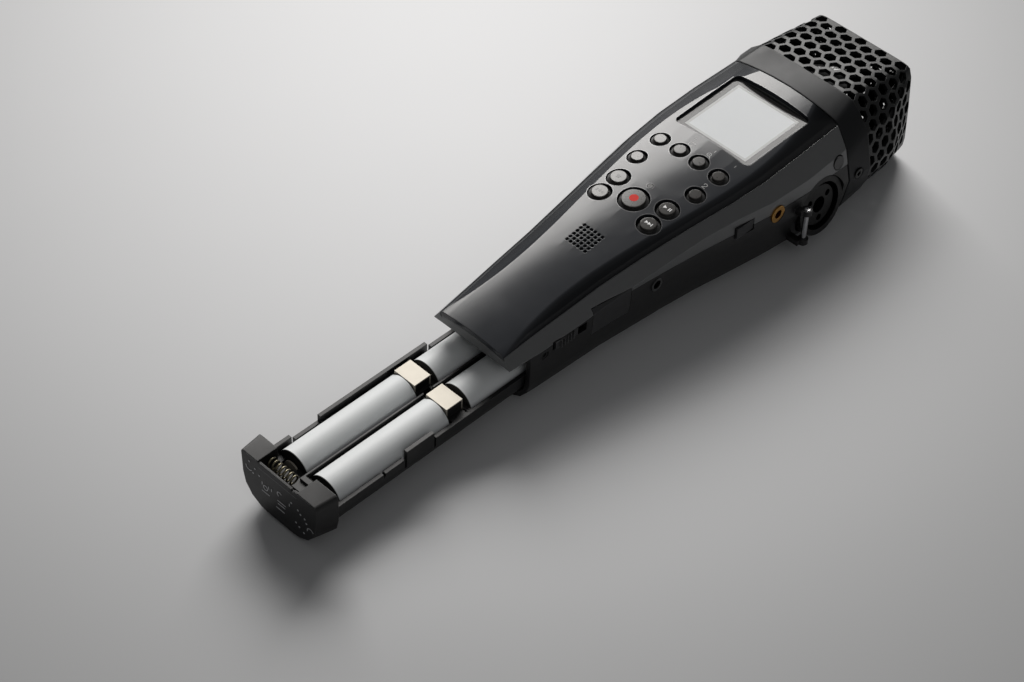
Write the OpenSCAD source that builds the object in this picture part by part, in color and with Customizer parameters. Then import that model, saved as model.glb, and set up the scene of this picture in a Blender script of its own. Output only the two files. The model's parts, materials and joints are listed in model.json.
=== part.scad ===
// Handheld digital recorder with a slide-out battery tray.
// Build frame: X across the width, Y from the tail edge of the hood towards the
// microphone head, Z up from the axis of the battery cells, display side up.

/* [Cells] */
// Diameter of one cell
cell_d = 14.4; // [13.8:0.1:14.6]
// Length of one cell
cell_len = 50.5; // [49.5:0.1:50.6]
// Distance between the axes of the two rows of cells
cell_pitch = 15.6; // [15.4:0.1:16]
// Space between the outer and the inner cells
cell_gap = 9.9; // [9:0.1:10.2]

/* [Tray] */
// How far the tray is drawn out of the body at rest
tray_out = 88.5; // [60:0.5:100]
// Wall of the tray
tray_wall = 1.5; // [1.2:0.1:1.6]
// Height of the low tray walls above the cell axis
rail_h = 2.6; // [2:0.1:4]
// Height of the raised tray walls above the cell axis
fence_h = 5.4; // [4.5:0.1:7]
// Length of the end cap
cap_len = 8.7; // [8:0.1:9.5]
// Top of the end cap above the cell axis
cap_top = 11.8; // [10.5:0.1:12]
// Mean radius of the latch spring
spring_r = 2; // [1.7:0.1:2.2]
// Wire diameter of the latch spring
spring_wire_d = 0.7; // [0.5:0.1:0.8]
// Curls in the latch spring
spring_curls = 7; // [5:1:8]

/* [Body] */
// Length of the body beyond the end of the tray, up to the collar
head_room = 36.55; // [36.5:0.05:44]
// Half width of the body at the collar
body_half_w = 34; // [33.5:0.1:35]
// Crown height at the head, above the cell axis
crown_head_z = 34.7; // [34:0.1:36]
// Crown height at the tail, above the cell axis
crown_tail_z = 18.5; // [18:0.1:20]
// Radius of the panel's crown across the width
crown_r = 100; // [90:1:140]
// Depth of the underside below the cell axis
floor_z = 12; // [11.8:0.1:13]
// Radius between the sides and the underside
foot_r = 11.5; // [10:0.1:12]
// Wall of the two shells
shell_wall = 2; // [1.8:0.1:2.1]
// Thickness of the front panel
panel_t = 1.8; // [1.5:0.1:2]
// Thickness of the deck under the front panel
deck_t = 1.3; // [1:0.1:1.5]
// Height of the parting line above the cell axis
part_z = 16.5; // [16:0.1:17]
// Set-back of the lower shell from the hood edge
shell_tail_y = 9.2; // [9:0.1:10]

/* [Head] */
// Length of the collar
collar_len = 11.5; // [10:0.5:13]
// Length of the grille cage
cage_len = 35; // [32:0.5:38]
// How much wider the collar is at the grille, on each side
head_flare = 0.8; // [0.3:0.1:1.5]
// How much higher the collar is at the grille
head_rise = 0.8; // [0.3:0.1:1.5]
// Wall of the grille cage
cage_wall = 1.6; // [1.4:0.1:2]
// Distance between neighbouring grille holes
hex_pitch = 6.2; // [5.8:0.1:6.8]
// Distance between the rows of grille holes
hex_row = 4.85; // [4.6:0.05:5.2]
// Web between grille holes
hex_web = 1.2; // [0.9:0.1:1.6]

/* [Keys] */
// Radius of the panel hole of a small key
small_key_r = 3.9; // [3.6:0.1:4]
// Radius of the panel hole of a transport key
transport_key_r = 4.6; // [4.2:0.1:4.7]
// Radius of the panel hole of the record key
record_key_r = 6; // [5.6:0.1:6.2]
// Tilt of the keys with the panel's slope
key_tilt = 5.5; // [4.5:0.1:6.5]
// Travel of a key
key_travel = 0.6; // [0.3:0.1:0.7]
// Distance of the display row of keys from the collar
row_a_back = 53.5; // [53:0.1:54]
// Distance of the middle row of keys from the collar
row_b_back = 65.8; // [65.4:0.1:66.2]

/* [Display] */
// Half width of the display window
window_half_w = 17.9; // [17:0.1:18.2]
// Length of the display window
window_len = 35.6; // [34:0.1:36]
// Distance of the display's centre from the collar
window_back = 24.6; // [24.4:0.1:25]

/* [Jacks] */
// Bore radius of the large jack sockets
plug_large_r = 3.25; // [3.2:0.05:3.4]
// Bore radius of the small jack sockets
plug_small_r = 1.8; // [1.78:0.01:1.9]
// Radius of the insert that faces out of a large jack
insert_r = 8.2; // [8:0.1:8.4]
// Radius of the flange round a large jack
flange_r = 12; // [11.6:0.1:12.2]
// Upward tilt of the large jacks
jack_tilt = 8; // [5:0.5:10]
// Bore radius of the tripod thread
tripod_r = 2.6; // [2.5:0.05:3]

/* [Hidden] */

$fn = 48;
// Overrun of cuts, and the clearances of fits
over = 1;
eps = 0.05;
fit_gap = 0.3;
slide_gap = 0.25;

// Lengths along the tray when it is pushed home, and its width
cell_r = cell_d / 2;
cell_clear = 0.25;
cell_seat = 4.5;
cell_from = fit_gap + cap_len + cell_seat;
cell_mid = cell_from + cell_len;
cell_to = cell_from + 2 * cell_len + cell_gap;
tray_end_t = 1.8;
tray_to = cell_to + cell_clear + tray_end_t;
tray_in_r = cell_r + cell_clear;
tray_out_r = tray_in_r + tray_wall;
tray_half_w = cell_pitch / 2 + tray_out_r;

// Lengths along the whole recorder
body_len = tray_to + head_room;
head_end_y = body_len + collar_len + cage_len;
cap_front_y = fit_gap - tray_out;
mid_y = (head_end_y + cap_front_y) / 2;
head_half_w = body_half_w + head_flare;
head_top_z = crown_head_z + head_rise;

// Places of keys and display, measured back from the collar
row_a_y = body_len - row_a_back;
row_b_y = body_len - row_b_back;
window_y = body_len - window_back;
transport_backs = [87.7, 78];
record_back = 82.8;
lamp_back = 74.2;
speaker_back = 107.7;

// Shape of the body, as shares of its length, its half width and its crown height
crown_power_share = 1.7;
edge_shares = [[0, 0.45], [0.092, 0.471], [0.184, 0.5], [0.276, 0.524], [0.387, 0.576],
  [0.46, 0.615], [0.552, 0.668], [0.644, 0.724], [0.748, 0.759], [0.865, 0.756], [1, 0.735]];
crease_shares = [[0, 0.541], [0.092, 0.588], [0.184, 0.617], [0.276, 0.643], [0.387, 0.694],
  [0.46, 0.727], [0.552, 0.774], [0.644, 0.835], [0.748, 0.9], [0.865, 0.924], [1, 0.897]];
crease_height_shares = [[0, 0.672], [0.092, 0.638], [0.184, 0.642], [0.276, 0.656],
  [0.387, 0.684], [0.46, 0.702], [0.552, 0.728], [0.644, 0.714], [0.748, 0.663],
  [0.865, 0.642], [1, 0.654]];
wide_shares = [[0, 0.538], [0.055, 0.575], [0.092, 0.584], [0.184, 0.609], [0.276, 0.632], [0.387, 0.688],
  [0.46, 0.729], [0.552, 0.788], [0.644, 0.856], [0.748, 0.932], [0.865, 0.982], [1, 1]];
foot_shares = [[0, 0.528], [0.055, 0.57], [0.092, 0.576], [0.184, 0.585], [0.276, 0.6], [0.387, 0.647],
  [0.46, 0.676], [0.552, 0.724], [0.644, 0.791], [0.748, 0.862], [0.865, 0.918], [1, 0.953]];
floor_shares = [[0, 0.86], [0.055, 0.955], [0.092, 0.975], [0.184, 1], [1, 1]];
station_shares = [0, 0.055, 0.092, 0.184, 0.276, 0.387, 0.46, 0.552, 0.644, 0.748, 0.865, 1];
crown_step_shares = [0, 0.25, 0.5, 0.75, 0.92, 1];
foot_arc_angles = [25, 50, 75, 90];
wide_z = 9.5;
edge_round = 0.5;
part_lip = 0.2;

function share_at(table, y) = lookup(y / body_len, table);
function crown_z(y) = crown_head_z - (crown_head_z - crown_tail_z)
  * pow(max(body_len + crown_lead - y, 0) / (body_len + crown_lead), crown_power_share);
// The crown runs level a little past the collar's edge
crown_lead = 2;
function skin_z(x, y) = crown_z(y) - x * x / (2 * crown_r);
// The sides stand beside the tray at the tail, and reach the half width at the collar
tail_side = 1.542;
tail_half_w = tray_half_w + tail_side;
function wide_x(y) = let (s = wide_shares[0][1])
  tail_half_w + (body_half_w - tail_half_w) * (share_at(wide_shares, y) - s) / (1 - s);
function half_at(table, y) = wide_x(y) * share_at(table, y) / share_at(wide_shares, y);
function edge_x(y) = half_at(edge_shares, y);
function crease_x(y) = half_at(crease_shares, y);
function crease_z(y) = crown_z(y) * share_at(crease_height_shares, y);
function foot_x(y) = half_at(foot_shares, y);
function bottom_z(y) = -floor_z * share_at(floor_shares, y);
function seam_z(y) = min(crease_z(y) - part_lip, part_z);
function side_x(y, z) = let (cz = crease_z(y), cx = crease_x(y), wx = wide_x(y))
  z > cz ? cx - (cx - edge_x(y)) * (z - cz) / (skin_z(edge_x(y), y) - cz)
  : z > wide_z ? wx + (cx - wx) * (z - wide_z) / (cz - wide_z)
  : wx + (foot_x(y) - wx) * (wide_z - z) / (wide_z - bottom_z(y) - foot_r);

// Half outlines, from the top centre down the right side to the bottom centre
function crown_half(y) = [for (s = crown_step_shares)
  [s * edge_x(y), skin_z(s * edge_x(y), y) - (s == 1 ? edge_round : 0)]];
function crown_under(y, drop) = [for (s = crown_step_shares)
  [s * edge_x(y), skin_z(s * edge_x(y), y) - drop]];
function foot_half(y, wall) = [for (a = foot_arc_angles)
  [foot_x(y) - foot_r + (foot_r - wall) * cos(a),
   bottom_z(y) + foot_r - (foot_r - wall) * sin(a)]];
function body_half(y) = concat(crown_half(y),
  [[crease_x(y), crease_z(y)], [side_x(y, seam_z(y)), seam_z(y)], [wide_x(y), wide_z],
   [foot_x(y), bottom_z(y) + foot_r]], foot_half(y, 0), [[0, bottom_z(y)]]);

// Head outline at the collar's front, as shares of its half width and of its height
head_half_shares = [[0, 1], [0.16, 1], [0.32, 1], [0.48, 0.999], [0.6, 0.99], [0.65, 0.972],
  [0.77, 0.894], [0.9, 0.763], [1, 0.46], [0.985, 0.33], [0.915, 0.2], [0.82, 0.115],
  [0.7, 0.04], [0.575, 0], [0, 0]];
function head_half(w, top, bottom) = [for (s = head_half_shares)
  [w * s[0], bottom + (top - bottom) * s[1]]];

// A closed ring of points at y, from a half outline and its mirror image
function ring(half, y) = concat([for (p = half) [p[0], y, p[1]]],
  [for (i = [len(half) - 1:-1:0]) if (half[i][0] > 0) [-half[i][0], y, half[i][1]]]);
function toward(p, c, w) = let (v = [p[0] - c[0], p[1] - c[1]], l = norm(v))
  [p[0] - w * v[0] / l, p[1] - w * v[1] / l];
function inset(half, w, c) = [for (p = half) toward(p, c, w)];

// Faces between rings of n points, two triangles for each step round and along
function side_faces(n, m) = concat(
  [for (i = [0:m - 2], j = [0:n - 1]) [i * n + j, (i + 1) * n + j, (i + 1) * n + (j + 1) % n]],
  [for (i = [0:m - 2], j = [0:n - 1]) [i * n + j, (i + 1) * n + (j + 1) % n, i * n + (j + 1) % n]]);
function middle(r) = [0, r[0][1], (min([for (p = r) p[2]]) + max([for (p = r) p[2]])) / 2];

// Solid through rings of equally many points, each end closed by a fan from its middle
module loft(rings) {
  n = len(rings[0]);
  m = len(rings);
  polyhedron(points = concat([for (r = rings) each r], [middle(rings[0]), middle(rings[m - 1])]),
    faces = concat(side_faces(n, m),
      [for (j = [0:n - 1]) [j, (j + 1) % n, m * n]],
      [for (j = [0:n - 1]) [(m - 1) * n + (j + 1) % n, (m - 1) * n + j, m * n + 1]]),
    convexity = 8);
}

// Wall through bands, each [y, upper or right points, the others] with equally many of both
module wall_loft(bands) {
  h = len(bands[0][1]);
  n = 2 * h;
  m = len(bands);
  polyhedron(points = [for (b = bands) each concat([for (p = b[1]) [p[0], b[0], p[1]]],
      [for (i = [h - 1:-1:0]) [b[2][i][0], b[0], b[2][i][1]]])],
    faces = concat(side_faces(n, m),
      [for (j = [0:h - 2]) each [[j, j + 1, n - 2 - j], [j, n - 2 - j, n - 1 - j]]],
      [for (j = [0:h - 2]) let (k = (m - 1) * n)
        each [[k + j + 1, k + j, k + n - 2 - j], [k + n - 2 - j, k + j, k + n - 1 - j]]]),
    convexity = 8);
}

// Both sides of a half outline that starts on the centre line, from left to right
function both_sides(half) = concat([for (i = [len(half) - 1:-1:1]) [-half[i][0], half[i][1]]], half);

module place() {
  translate([0, -mid_y, floor_z]) children();
}

module tray_place() {
  place() translate([0, -tray_out, 0]) children();
}

// A rod, or a drilled or tapered one, along +X or along the mirrored side
module along_x(side) {
  rotate([0, side * 90, 0]) children();
}

// Extrudes a profile drawn in X and Z along Y
module along_y(from_y, to_y) {
  translate([0, to_y, 0]) rotate([90, 0, 0]) linear_extrude(to_y - from_y) children();
}

module box(low, high) {
  translate(low) cube(high - low);
}

// Surface frame: on the panel's skin at x, y, tilted with its slope
module on_panel(x, y) {
  translate([x, y, skin_z(x, y)]) rotate([key_tilt, 0, 0]) children();
}

// Keys: [x, y, hole radius]
display_key_xs = [-14.1, -4.6, 4.6, 14.1];
middle_key_x = 14.1;
transport_x = 11.8;
transport_ys = [for (b = transport_backs) body_len - b];
record_y = body_len - record_back;
lamp_y = body_len - lamp_back;
lamp_r = 1.1;
keys = [[display_key_xs[0], row_a_y, small_key_r], [display_key_xs[1], row_a_y, small_key_r],
  [display_key_xs[2], row_a_y, small_key_r], [display_key_xs[3], row_a_y, small_key_r],
  [-middle_key_x, row_b_y, small_key_r], [middle_key_x, row_b_y, small_key_r],
  [-transport_x, transport_ys[1], transport_key_r], [-transport_x, transport_ys[0], transport_key_r],
  [transport_x, transport_ys[1], transport_key_r], [transport_x, transport_ys[0], transport_key_r],
  [0, record_y, record_key_r]];
key_skirt_gap = 0.3;
key_rim = 1.15;
key_rise = 0.5;
key_dome = 0.25;
key_skirt_top = -1;
key_skirt_h = 1.4;
key_stem_r = 1.6;
key_reach = 4.4;
key_cut = 12;

// Speaker holes
speaker_y = body_len - speaker_back;
speaker_hole_r = 0.68;
speaker_pitch = 1.75;
speaker_count = 6;
speaker_tilt = 7.3;
speaker_r = 8;
speaker_t = 3.2;
speaker_drop = 0.3;

// Display
window_tilt = 3.6;
window_corner_r = 2.5;
lens_gap = 0.25;
lens_t = 1.2;
lens_low_z = 30.3;
lens_tilt = 2.2;
display_margin = 1.4;
display_t = 2.4;

module window_shape(half_w, len, r) {
  for (sx = [-1, 1], sy = [-1, 1])
    translate([sx * (half_w - r), sy * (len / 2 - r)]) circle(r);
  square([2 * half_w, len - 2 * r], center = true);
  square([2 * (half_w - r), len], center = true);
}

module window_cut() {
  translate([0, window_y, crown_z(window_y)]) rotate([window_tilt, 0, 0])
    translate([0, 0, -key_cut]) linear_extrude(2 * key_cut)
      window_shape(window_half_w, window_len, window_corner_r);
}

module key_cuts(gap) {
  for (k = keys) on_panel(k[0], k[1])
    translate([0, 0, -key_cut / 2]) cylinder(r = k[2] + gap, h = key_cut);
}

function panel_band(y) = [y, both_sides(crown_half(y)), both_sides(crown_under(y, panel_t))];
function stations(from_y, to_y) = concat([from_y],
  [for (s = station_shares) if (s * body_len > from_y + over && s * body_len < to_y - over)
    s * body_len], [to_y]);

module front_panel() {
  color([0.13, 0.13, 0.14]) place() difference() {
    wall_loft([for (y = stations(0, body_len)) panel_band(y)]);
    key_cuts(0);
    window_cut();
    on_panel(0, lamp_y) translate([0, 0, -key_cut / 2]) cylinder(r = lamp_r + eps, h = key_cut);
    for (i = [0:speaker_count - 1], j = [0:speaker_count - 1])
      translate([(i - (speaker_count - 1) / 2) * speaker_pitch,
        speaker_y + (j - (speaker_count - 1) / 2) * speaker_pitch, 0])
        cylinder(r = speaker_hole_r, h = crown_head_z);
  }
}

// Upper housing: deck, lips beside the panel, slanted bands and short side walls
deck_gap = 0.1;
lip_gap = 0.15;
band_wall = 2.2;
hood_wall = 2;
function deck_half(y, drop) = [for (s = crown_step_shares)
  [s * (edge_x(y) + lip_gap), skin_z(s * edge_x(y), y) - drop]];
function lip_outer(y) = [[edge_x(y) + lip_gap, skin_z(edge_x(y), y) - edge_round],
  [crease_x(y), crease_z(y)], [side_x(y, seam_z(y)), seam_z(y)]];
function lip_inner(y) = [[edge_x(y) - part_lip, skin_z(edge_x(y), y) - panel_t - deck_t],
  [crease_x(y) - band_wall, max(crease_z(y) - band_wall / 2, seam_z(y) + part_lip)],
  [side_x(y, seam_z(y)) - band_wall, seam_z(y)]];
function deck_under(y) = [for (s = crown_step_shares)
  [s * (edge_x(y) - band_wall / 2), skin_z(s * edge_x(y), y) - panel_t - deck_gap - deck_t]];
function housing_band(y) = [y, both_sides(concat(deck_half(y, panel_t + deck_gap), lip_outer(y))),
  both_sides(concat(deck_under(y), lip_inner(y)))];
// The end wall runs from the middle of the deck to the middle of the bands
hood_top_drop = panel_t + deck_gap + deck_t / 2;
hood_half = [[0, crown_z(0) - hood_top_drop],
  [edge_x(0) - band_wall / 2, skin_z(edge_x(0), 0) - hood_top_drop],
  [crease_x(0) - band_wall / 2, seam_z(0) + eps]];

module upper_housing() {
  color([0.3, 0.3, 0.31]) place() difference() {
    union() {
      wall_loft([for (y = stations(0, body_len)) housing_band(y)]);
      along_y(eps, hood_wall) polygon(both_sides(hood_half));
    }
    key_cuts(fit_gap);
    window_cut();
    on_panel(0, lamp_y) translate([0, 0, -key_cut / 2]) cylinder(r = lamp_r + eps, h = key_cut);
    on_panel(0, speaker_y) translate([0, 0, -key_cut / 2])
      cylinder(r = speaker_pitch * speaker_count / sqrt(2), h = key_cut);
    side_cuts();
  }
}

// Openings in the side walls, shared by the two shells
door_y = 47;
door_len = 18;
door_low_z = 5.2;
door_high_z = 18;
switch_y = 27.3;
switch_len = 16;
switch_z = 12.3;
switch_h = 3.8;
menu_back = 54.6;
menu_y = body_len - menu_back;
menu_len = 9.2;
menu_z = 16.9;
menu_h = 5.2;
combo_back = 14.8;
combo_y = body_len - combo_back;
combo_z = 5.9;
combo_set_back = 0.6;
combo_face_x = body_half_w - combo_set_back;
tab_back = 5;
tab_y = body_len - tab_back;
tab_z = 19.8;
tab_r = 2.7;
line_jack_back = 38.5;
line_jack_y = body_len - line_jack_back;
line_jack_z = 15.3;
line_ring_r = 3.5;
time_jack_y = 67.9;
time_jack_z = 12.4;
time_ring_r = 2.7;
phones_y = 67.9;
usb_y = 47;
usb_z = 12.4;
usb_w = 9;
usb_h = 3.3;
wheel_y = 94;
wheel_z = 12.4;
wheel_r = 8.5;
wheel_t = 3.6;
wheel_proud = 1.2;
plug_y = 15.9;
plug_z = 10.3;
side_plug_r = 1.7;
side_reach = 10;

module side_cuts() {
  box([crease_x(door_y) - side_reach / 2, door_y - door_len / 2, door_low_z],
    [crease_x(door_y) + side_reach, door_y + door_len / 2, door_high_z]);
  box([crease_x(switch_y) - side_reach / 2, switch_y - switch_len / 2, switch_z - switch_h / 2],
    [crease_x(switch_y) + side_reach, switch_y + switch_len / 2, switch_z + switch_h / 2]);
  box([side_x(menu_y, menu_z) - side_reach / 2, menu_y - menu_len / 2, menu_z - menu_h / 2],
    [side_x(menu_y, menu_z) + side_reach, menu_y + menu_len / 2, menu_z + menu_h / 2]);
  for (s = [-1, 1]) {
    combo_frame(s) translate([0, 0, -side_reach]) cylinder(r = flange_r + fit_gap, h = 2 * side_reach);
    tab_frame(s) translate([0, 0, -side_reach]) cylinder(r = tab_r + fit_gap, h = 2 * side_reach);
  }
  side_hole(1, line_jack_y, line_jack_z, line_ring_r + eps);
  side_hole(1, time_jack_y, time_jack_z, time_ring_r + eps);
  side_hole(-1, phones_y, time_jack_z, time_ring_r + eps);
  side_hole(1, plug_y, plug_z, side_plug_r + eps);
  box([-crease_x(usb_y) - side_reach, usb_y - usb_w / 2 - eps, usb_z - usb_h / 2 - eps],
    [-crease_x(usb_y) + side_reach / 2, usb_y + usb_w / 2 + eps, usb_z + usb_h / 2 + eps]);
  translate([-wheel_x(), wheel_y, wheel_z - wheel_t / 2 - fit_gap])
    cylinder(r = wheel_r + fit_gap, h = wheel_t + 2 * fit_gap);
}

module side_hole(side, y, z, r) {
  translate([side * (side_x(y, z) - side_reach / 2), y, z]) along_x(side) cylinder(r = r, h = side_reach);
}

// Frames whose Z axis points out of the side, tilted up with the side wall
module combo_frame(side) {
  translate([side * combo_face_x, combo_y, combo_z]) rotate([0, side * (90 - jack_tilt), 0]) children();
}

module tab_frame(side) {
  translate([side * side_x(tab_y, tab_z), tab_y, tab_z]) rotate([0, side * (90 - jack_tilt), 0]) children();
}

// Lower shell
function up_from(points) = [for (i = [len(points) - 1:-1:0]) points[i]];
function shell_half(y, wall) = let (z = seam_z(y) - eps)
  concat([[0, bottom_z(y) + wall]], up_from(foot_half(y, wall)),
  [[foot_x(y) - wall, bottom_z(y) + foot_r], [wide_x(y) - wall, wide_z], [side_x(y, z) - wall, z]]);
function shell_band(y) = [y, both_sides(shell_half(y, shell_wall)), both_sides(shell_half(y, 0))];
bay_end_gap = 1.95;
bay_end_y = tray_to + bay_end_gap;
bay_over = 4;
screw_x = 14.5;
screw_behind = 4.6;
screw_y = bay_end_y + screw_behind;
screw_r = 1.1;
screw_head_r = 2.1;
screw_head_h = 1.6;
screw_sink = 0.8;
screw_len = 9;
boss_r = 2.7;
tripod_wall = 2;
tripod_depth = 7.5;
tripod_blind = 1.2;
tripod_boss_wall = 2.4;
input_post_r = 2.8;

module lower_shell() {
  color([0.2, 0.2, 0.21]) place() difference() {
    union() {
      difference() {
        wall_loft([for (y = stations(shell_tail_y, body_len - fit_gap)) shell_band(y)]);
        side_cuts();
      }
      translate([0, combo_y, bottom_z(combo_y) + shell_wall / 2])
        cylinder(r = tripod_r + tripod_wall + tripod_boss_wall, h = tripod_depth + tripod_boss_wall);
      translate([0, combo_y, bottom_z(combo_y) + tripod_depth + tripod_boss_wall])
        cylinder(r = input_post_r, h = input_board_z - bottom_z(combo_y) - tripod_depth - tripod_boss_wall);
      for (s = [-1, 1], z = [pin_low_z, pin_high_z - ear_t]) translate([s * pin_x, pin_y, z]) {
        cylinder(r = pin_r + ear_rim, h = ear_t);
        translate([-(s + 1) * ear_len / 2, -ear_back, 0]) cube([ear_len, ear_back - ear_front, ear_t]);
      }
    }
    translate([0, combo_y, bottom_z(combo_y) - over])
      cylinder(r = tripod_r + tripod_wall, h = tripod_depth + over);
    for (s = [-1, 1]) translate([s * screw_x, screw_y, bottom_z(screw_y) - over]) {
      cylinder(r = screw_r + slide_gap, h = 2 * side_reach);
      cylinder(r = screw_head_r + slide_gap, h = over + screw_head_h - slide_gap);
    }
    for (s = [-1, 1]) translate([s * pin_x, pin_y, pin_low_z - over])
      cylinder(r = pin_r, h = pin_high_z - pin_low_z + 2 * over);
  }
}

// Steel pin for a strap beside each large jack, held by two ears of the lower shell
pin_proud = 1.6;
pin_back = 26.6;
pin_x = body_half_w + pin_proud;
pin_y = body_len - pin_back;
pin_r = 1.1;
pin_low_z = -3.4;
pin_high_z = 13;
ear_t = 2.2;
ear_rim = 0.9;
ear_root = 0.55;
ear_len = pin_x - foot_x(pin_y) + ear_root;
ear_back = 3.2;
ear_front = 0.7;

module strap_pin(side) {
  color([0.8, 0.8, 0.82]) place() translate([side * pin_x, pin_y, pin_low_z])
    cylinder(r = pin_r - eps / 2, h = pin_high_z - pin_low_z);
}

module strap_pin_right() {
  strap_pin(1);
}

module strap_pin_left() {
  strap_pin(-1);
}

// Collar and grille cage
collar_wall = 2.3;
head_c = [0, 11.5];
collar_gap = 0.4;
collar_y = body_len + collar_gap;
collar_front_y = body_len + collar_len;
cage_lip = 0.7;
cage_mid_share = 0.465;
cage_mid_w_share = 0.948;
cage_mid_drop = 1.7;
cage_end_w_share = 0.73;
cage_end_drop = 4.5;
cage_end_rise = 0.4;
cage_mid = [head_half_w * cage_mid_w_share, head_top_z - cage_mid_drop, -floor_z];
cage_end = [head_half_w * cage_end_w_share, head_top_z - cage_end_drop, cage_end_rise - floor_z];
collar_start = body_half(body_len);
collar_end = head_half(head_half_w, head_top_z, -floor_z);

module head_collar() {
  color([0.24, 0.24, 0.25]) place() difference() {
    loft([ring(collar_start, collar_y), ring(collar_end, collar_front_y)]);
    loft([ring(inset(collar_start, collar_wall, head_c), collar_y - over),
      ring(inset(collar_end, collar_wall, head_c), collar_front_y + over)]);
    for (s = [-1, 1]) collar_screw_frame(s) translate([0, 0, -side_reach])
      cylinder(r = screw_head_r + slide_gap, h = 2 * side_reach);
  }
}

collar_screw_at = 5.3;
collar_screw_y = body_len + collar_screw_at;
collar_screw_z = 10;
collar_screw_sink = 0.5;
module collar_screw_frame(side) {
  translate([side * (head_half_w - collar_screw_sink), collar_screw_y, collar_screw_z]) along_x(side)
    children();
}

module collar_screws() {
  color([0.35, 0.35, 0.36]) place() for (s = [-1, 1]) collar_screw_frame(s) difference() {
    union() {
      translate([0, 0, -screw_head_h]) cylinder(r = screw_head_r, h = screw_head_h);
      translate([0, 0, -screw_len / 2 - collar_wall])
        cylinder(r = screw_r, h = screw_len / 2 + collar_wall);
    }
    translate([0, 0, -screw_sink]) cylinder(r = screw_r, h = screw_sink + over, $fn = 6);
  }
}

// Half outlines of the cage at its start, its bend and its squarer far face
face_half_shares = [[0, 1], [0.2, 1], [0.4, 1], [0.6, 1], [0.75, 0.997], [0.82, 0.99],
  [0.87, 0.975], [0.92, 0.89], [0.965, 0.58], [0.988, 0.353], [1, 0.216], [0.985, 0.13],
  [0.94, 0.06], [0.8, 0.005], [0, 0]];
cage_halves = [inset(collar_end, cage_lip, head_c),
  head_half(cage_mid[0], cage_mid[1], cage_mid[2]),
  [for (s = face_half_shares) [cage_end[0] * s[0], cage_end[2] + (cage_end[1] - cage_end[2]) * s[1]]]];
cage_ys = [collar_front_y, collar_front_y + cage_mid_share * cage_len, head_end_y];
function blend(a, b, t) = [for (i = [0:len(a) - 1]) a[i] + (b[i] - a[i]) * t];
function cage_half(y) = y < cage_ys[1]
  ? blend(cage_halves[0], cage_halves[1], (y - cage_ys[0]) / (cage_ys[1] - cage_ys[0]))
  : blend(cage_halves[1], cage_halves[2], (y - cage_ys[1]) / (cage_ys[2] - cage_ys[1]));
// Point and outward turn at arc length u down the half outline h
function on_arc(h, u, i = 0) = let (d = h[i + 1] - h[i], l = norm(d))
  u <= l || i == len(h) - 2 ? [h[i] + d * u / l, atan2(-d[1], d[0])] : on_arc(h, u - l, i + 1);

hex_r = (norm([hex_row, hex_pitch / 2]) - hex_web) / sqrt(3);
hex_draft_share = 0.93;
hex_rows = 15;
hex_cols = [6, 5];
hex_edges = [1.4, 4.7];
hex_far_row = 10;
function hex_last(i) = hex_cols[i % 2] - (i % 2 == 0 && i > hex_far_row ? 2 : 1);
face_rows = 4;
face_hexes = 2.7;

// One drafted hole of the grille, along Z and wider outside
module hex_hole(reach) {
  hull() {
    translate([0, 0, -reach]) cylinder(r = hex_draft_share * hex_r, h = eps, $fn = 6);
    translate([0, 0, reach]) cylinder(r = hex_r, h = eps, $fn = 6);
  }
}

module mic_cage() {
  color([0.16, 0.16, 0.17]) place() difference() {
    loft([for (i = [0:2]) ring(cage_halves[i], cage_ys[i])]);
    loft([ring(inset(cage_halves[0], cage_wall, head_c), cage_ys[0] - over),
      ring(inset(cage_halves[1], cage_wall, head_c), cage_ys[1]),
      ring(inset(cage_halves[2], cage_wall, head_c), cage_ys[2] - cage_wall)]);
    for (s = [-1, 1], i = [0:hex_rows - 1], j = [0:hex_last(i)]) if (i > 0 || s > 0)
      let (y = collar_front_y + hex_edges[i % 2] + j * hex_pitch,
        p = on_arc(cage_half(y), i * hex_row))
      translate([s * p[0][0], y, p[0][1]]) rotate([0, s * p[1], 0]) hex_hole(cage_wall + over / 2);
    for (i = [-face_rows:face_rows], j = [-face_rows:face_rows])
      if (abs(j + abs(i % 2) / 2) < face_hexes)
        translate([i * hex_row, head_end_y, head_c[1] + (j + abs(i % 2) / 2) * hex_pitch])
          rotate([-90, 0, 0]) hex_hole(cage_wall + over / 2);
  }
}

// Microphone bracket and the crossed pair of capsules
bracket_t = 2;
bracket_arm_w = 13;
bracket_arm_t = 2.6;
lug_back = 6.2;
lug_x = head_half_w - lug_back;
lug_w = 4.6;
lug_h = 5;
function collar_bore(y) = blend(inset(collar_start, collar_wall, head_c),
  inset(collar_end, collar_wall, head_c), (y - collar_y + over) / (collar_front_y - collar_y + 2 * over));
capsule_r = 7.4;
capsule_len = 13;
capsule_step = 9;
capsule_at = 14.5;
capsule_y = collar_front_y + capsule_at;
capsule_mouth = 1.2;

module mic_bracket() {
  color([0.15, 0.15, 0.15]) place() difference() {
    union() {
      loft([for (y = [collar_front_y - 2 * bracket_t, collar_front_y - bracket_t])
        ring(inset(collar_bore(y), part_lip, head_c), y)]);
      for (s = [-1, 1])
        box([s * lug_x - lug_w / 2, collar_screw_y - lug_h / 2, collar_screw_z - lug_h / 2],
          [s * lug_x + lug_w / 2, collar_front_y - 2 * bracket_t + eps, collar_screw_z + lug_h / 2]);
      box([-bracket_arm_w / 2, collar_front_y - bracket_t - eps, head_c[1] - bracket_arm_t / 2],
        [bracket_arm_w / 2, capsule_y + bracket_arm_w / 2, head_c[1] + bracket_arm_t / 2]);
    }
    for (s = [-1, 1]) collar_screw_frame(s) translate([0, 0, -side_reach])
      cylinder(r = screw_r + eps, h = side_reach);
  }
}

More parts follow.
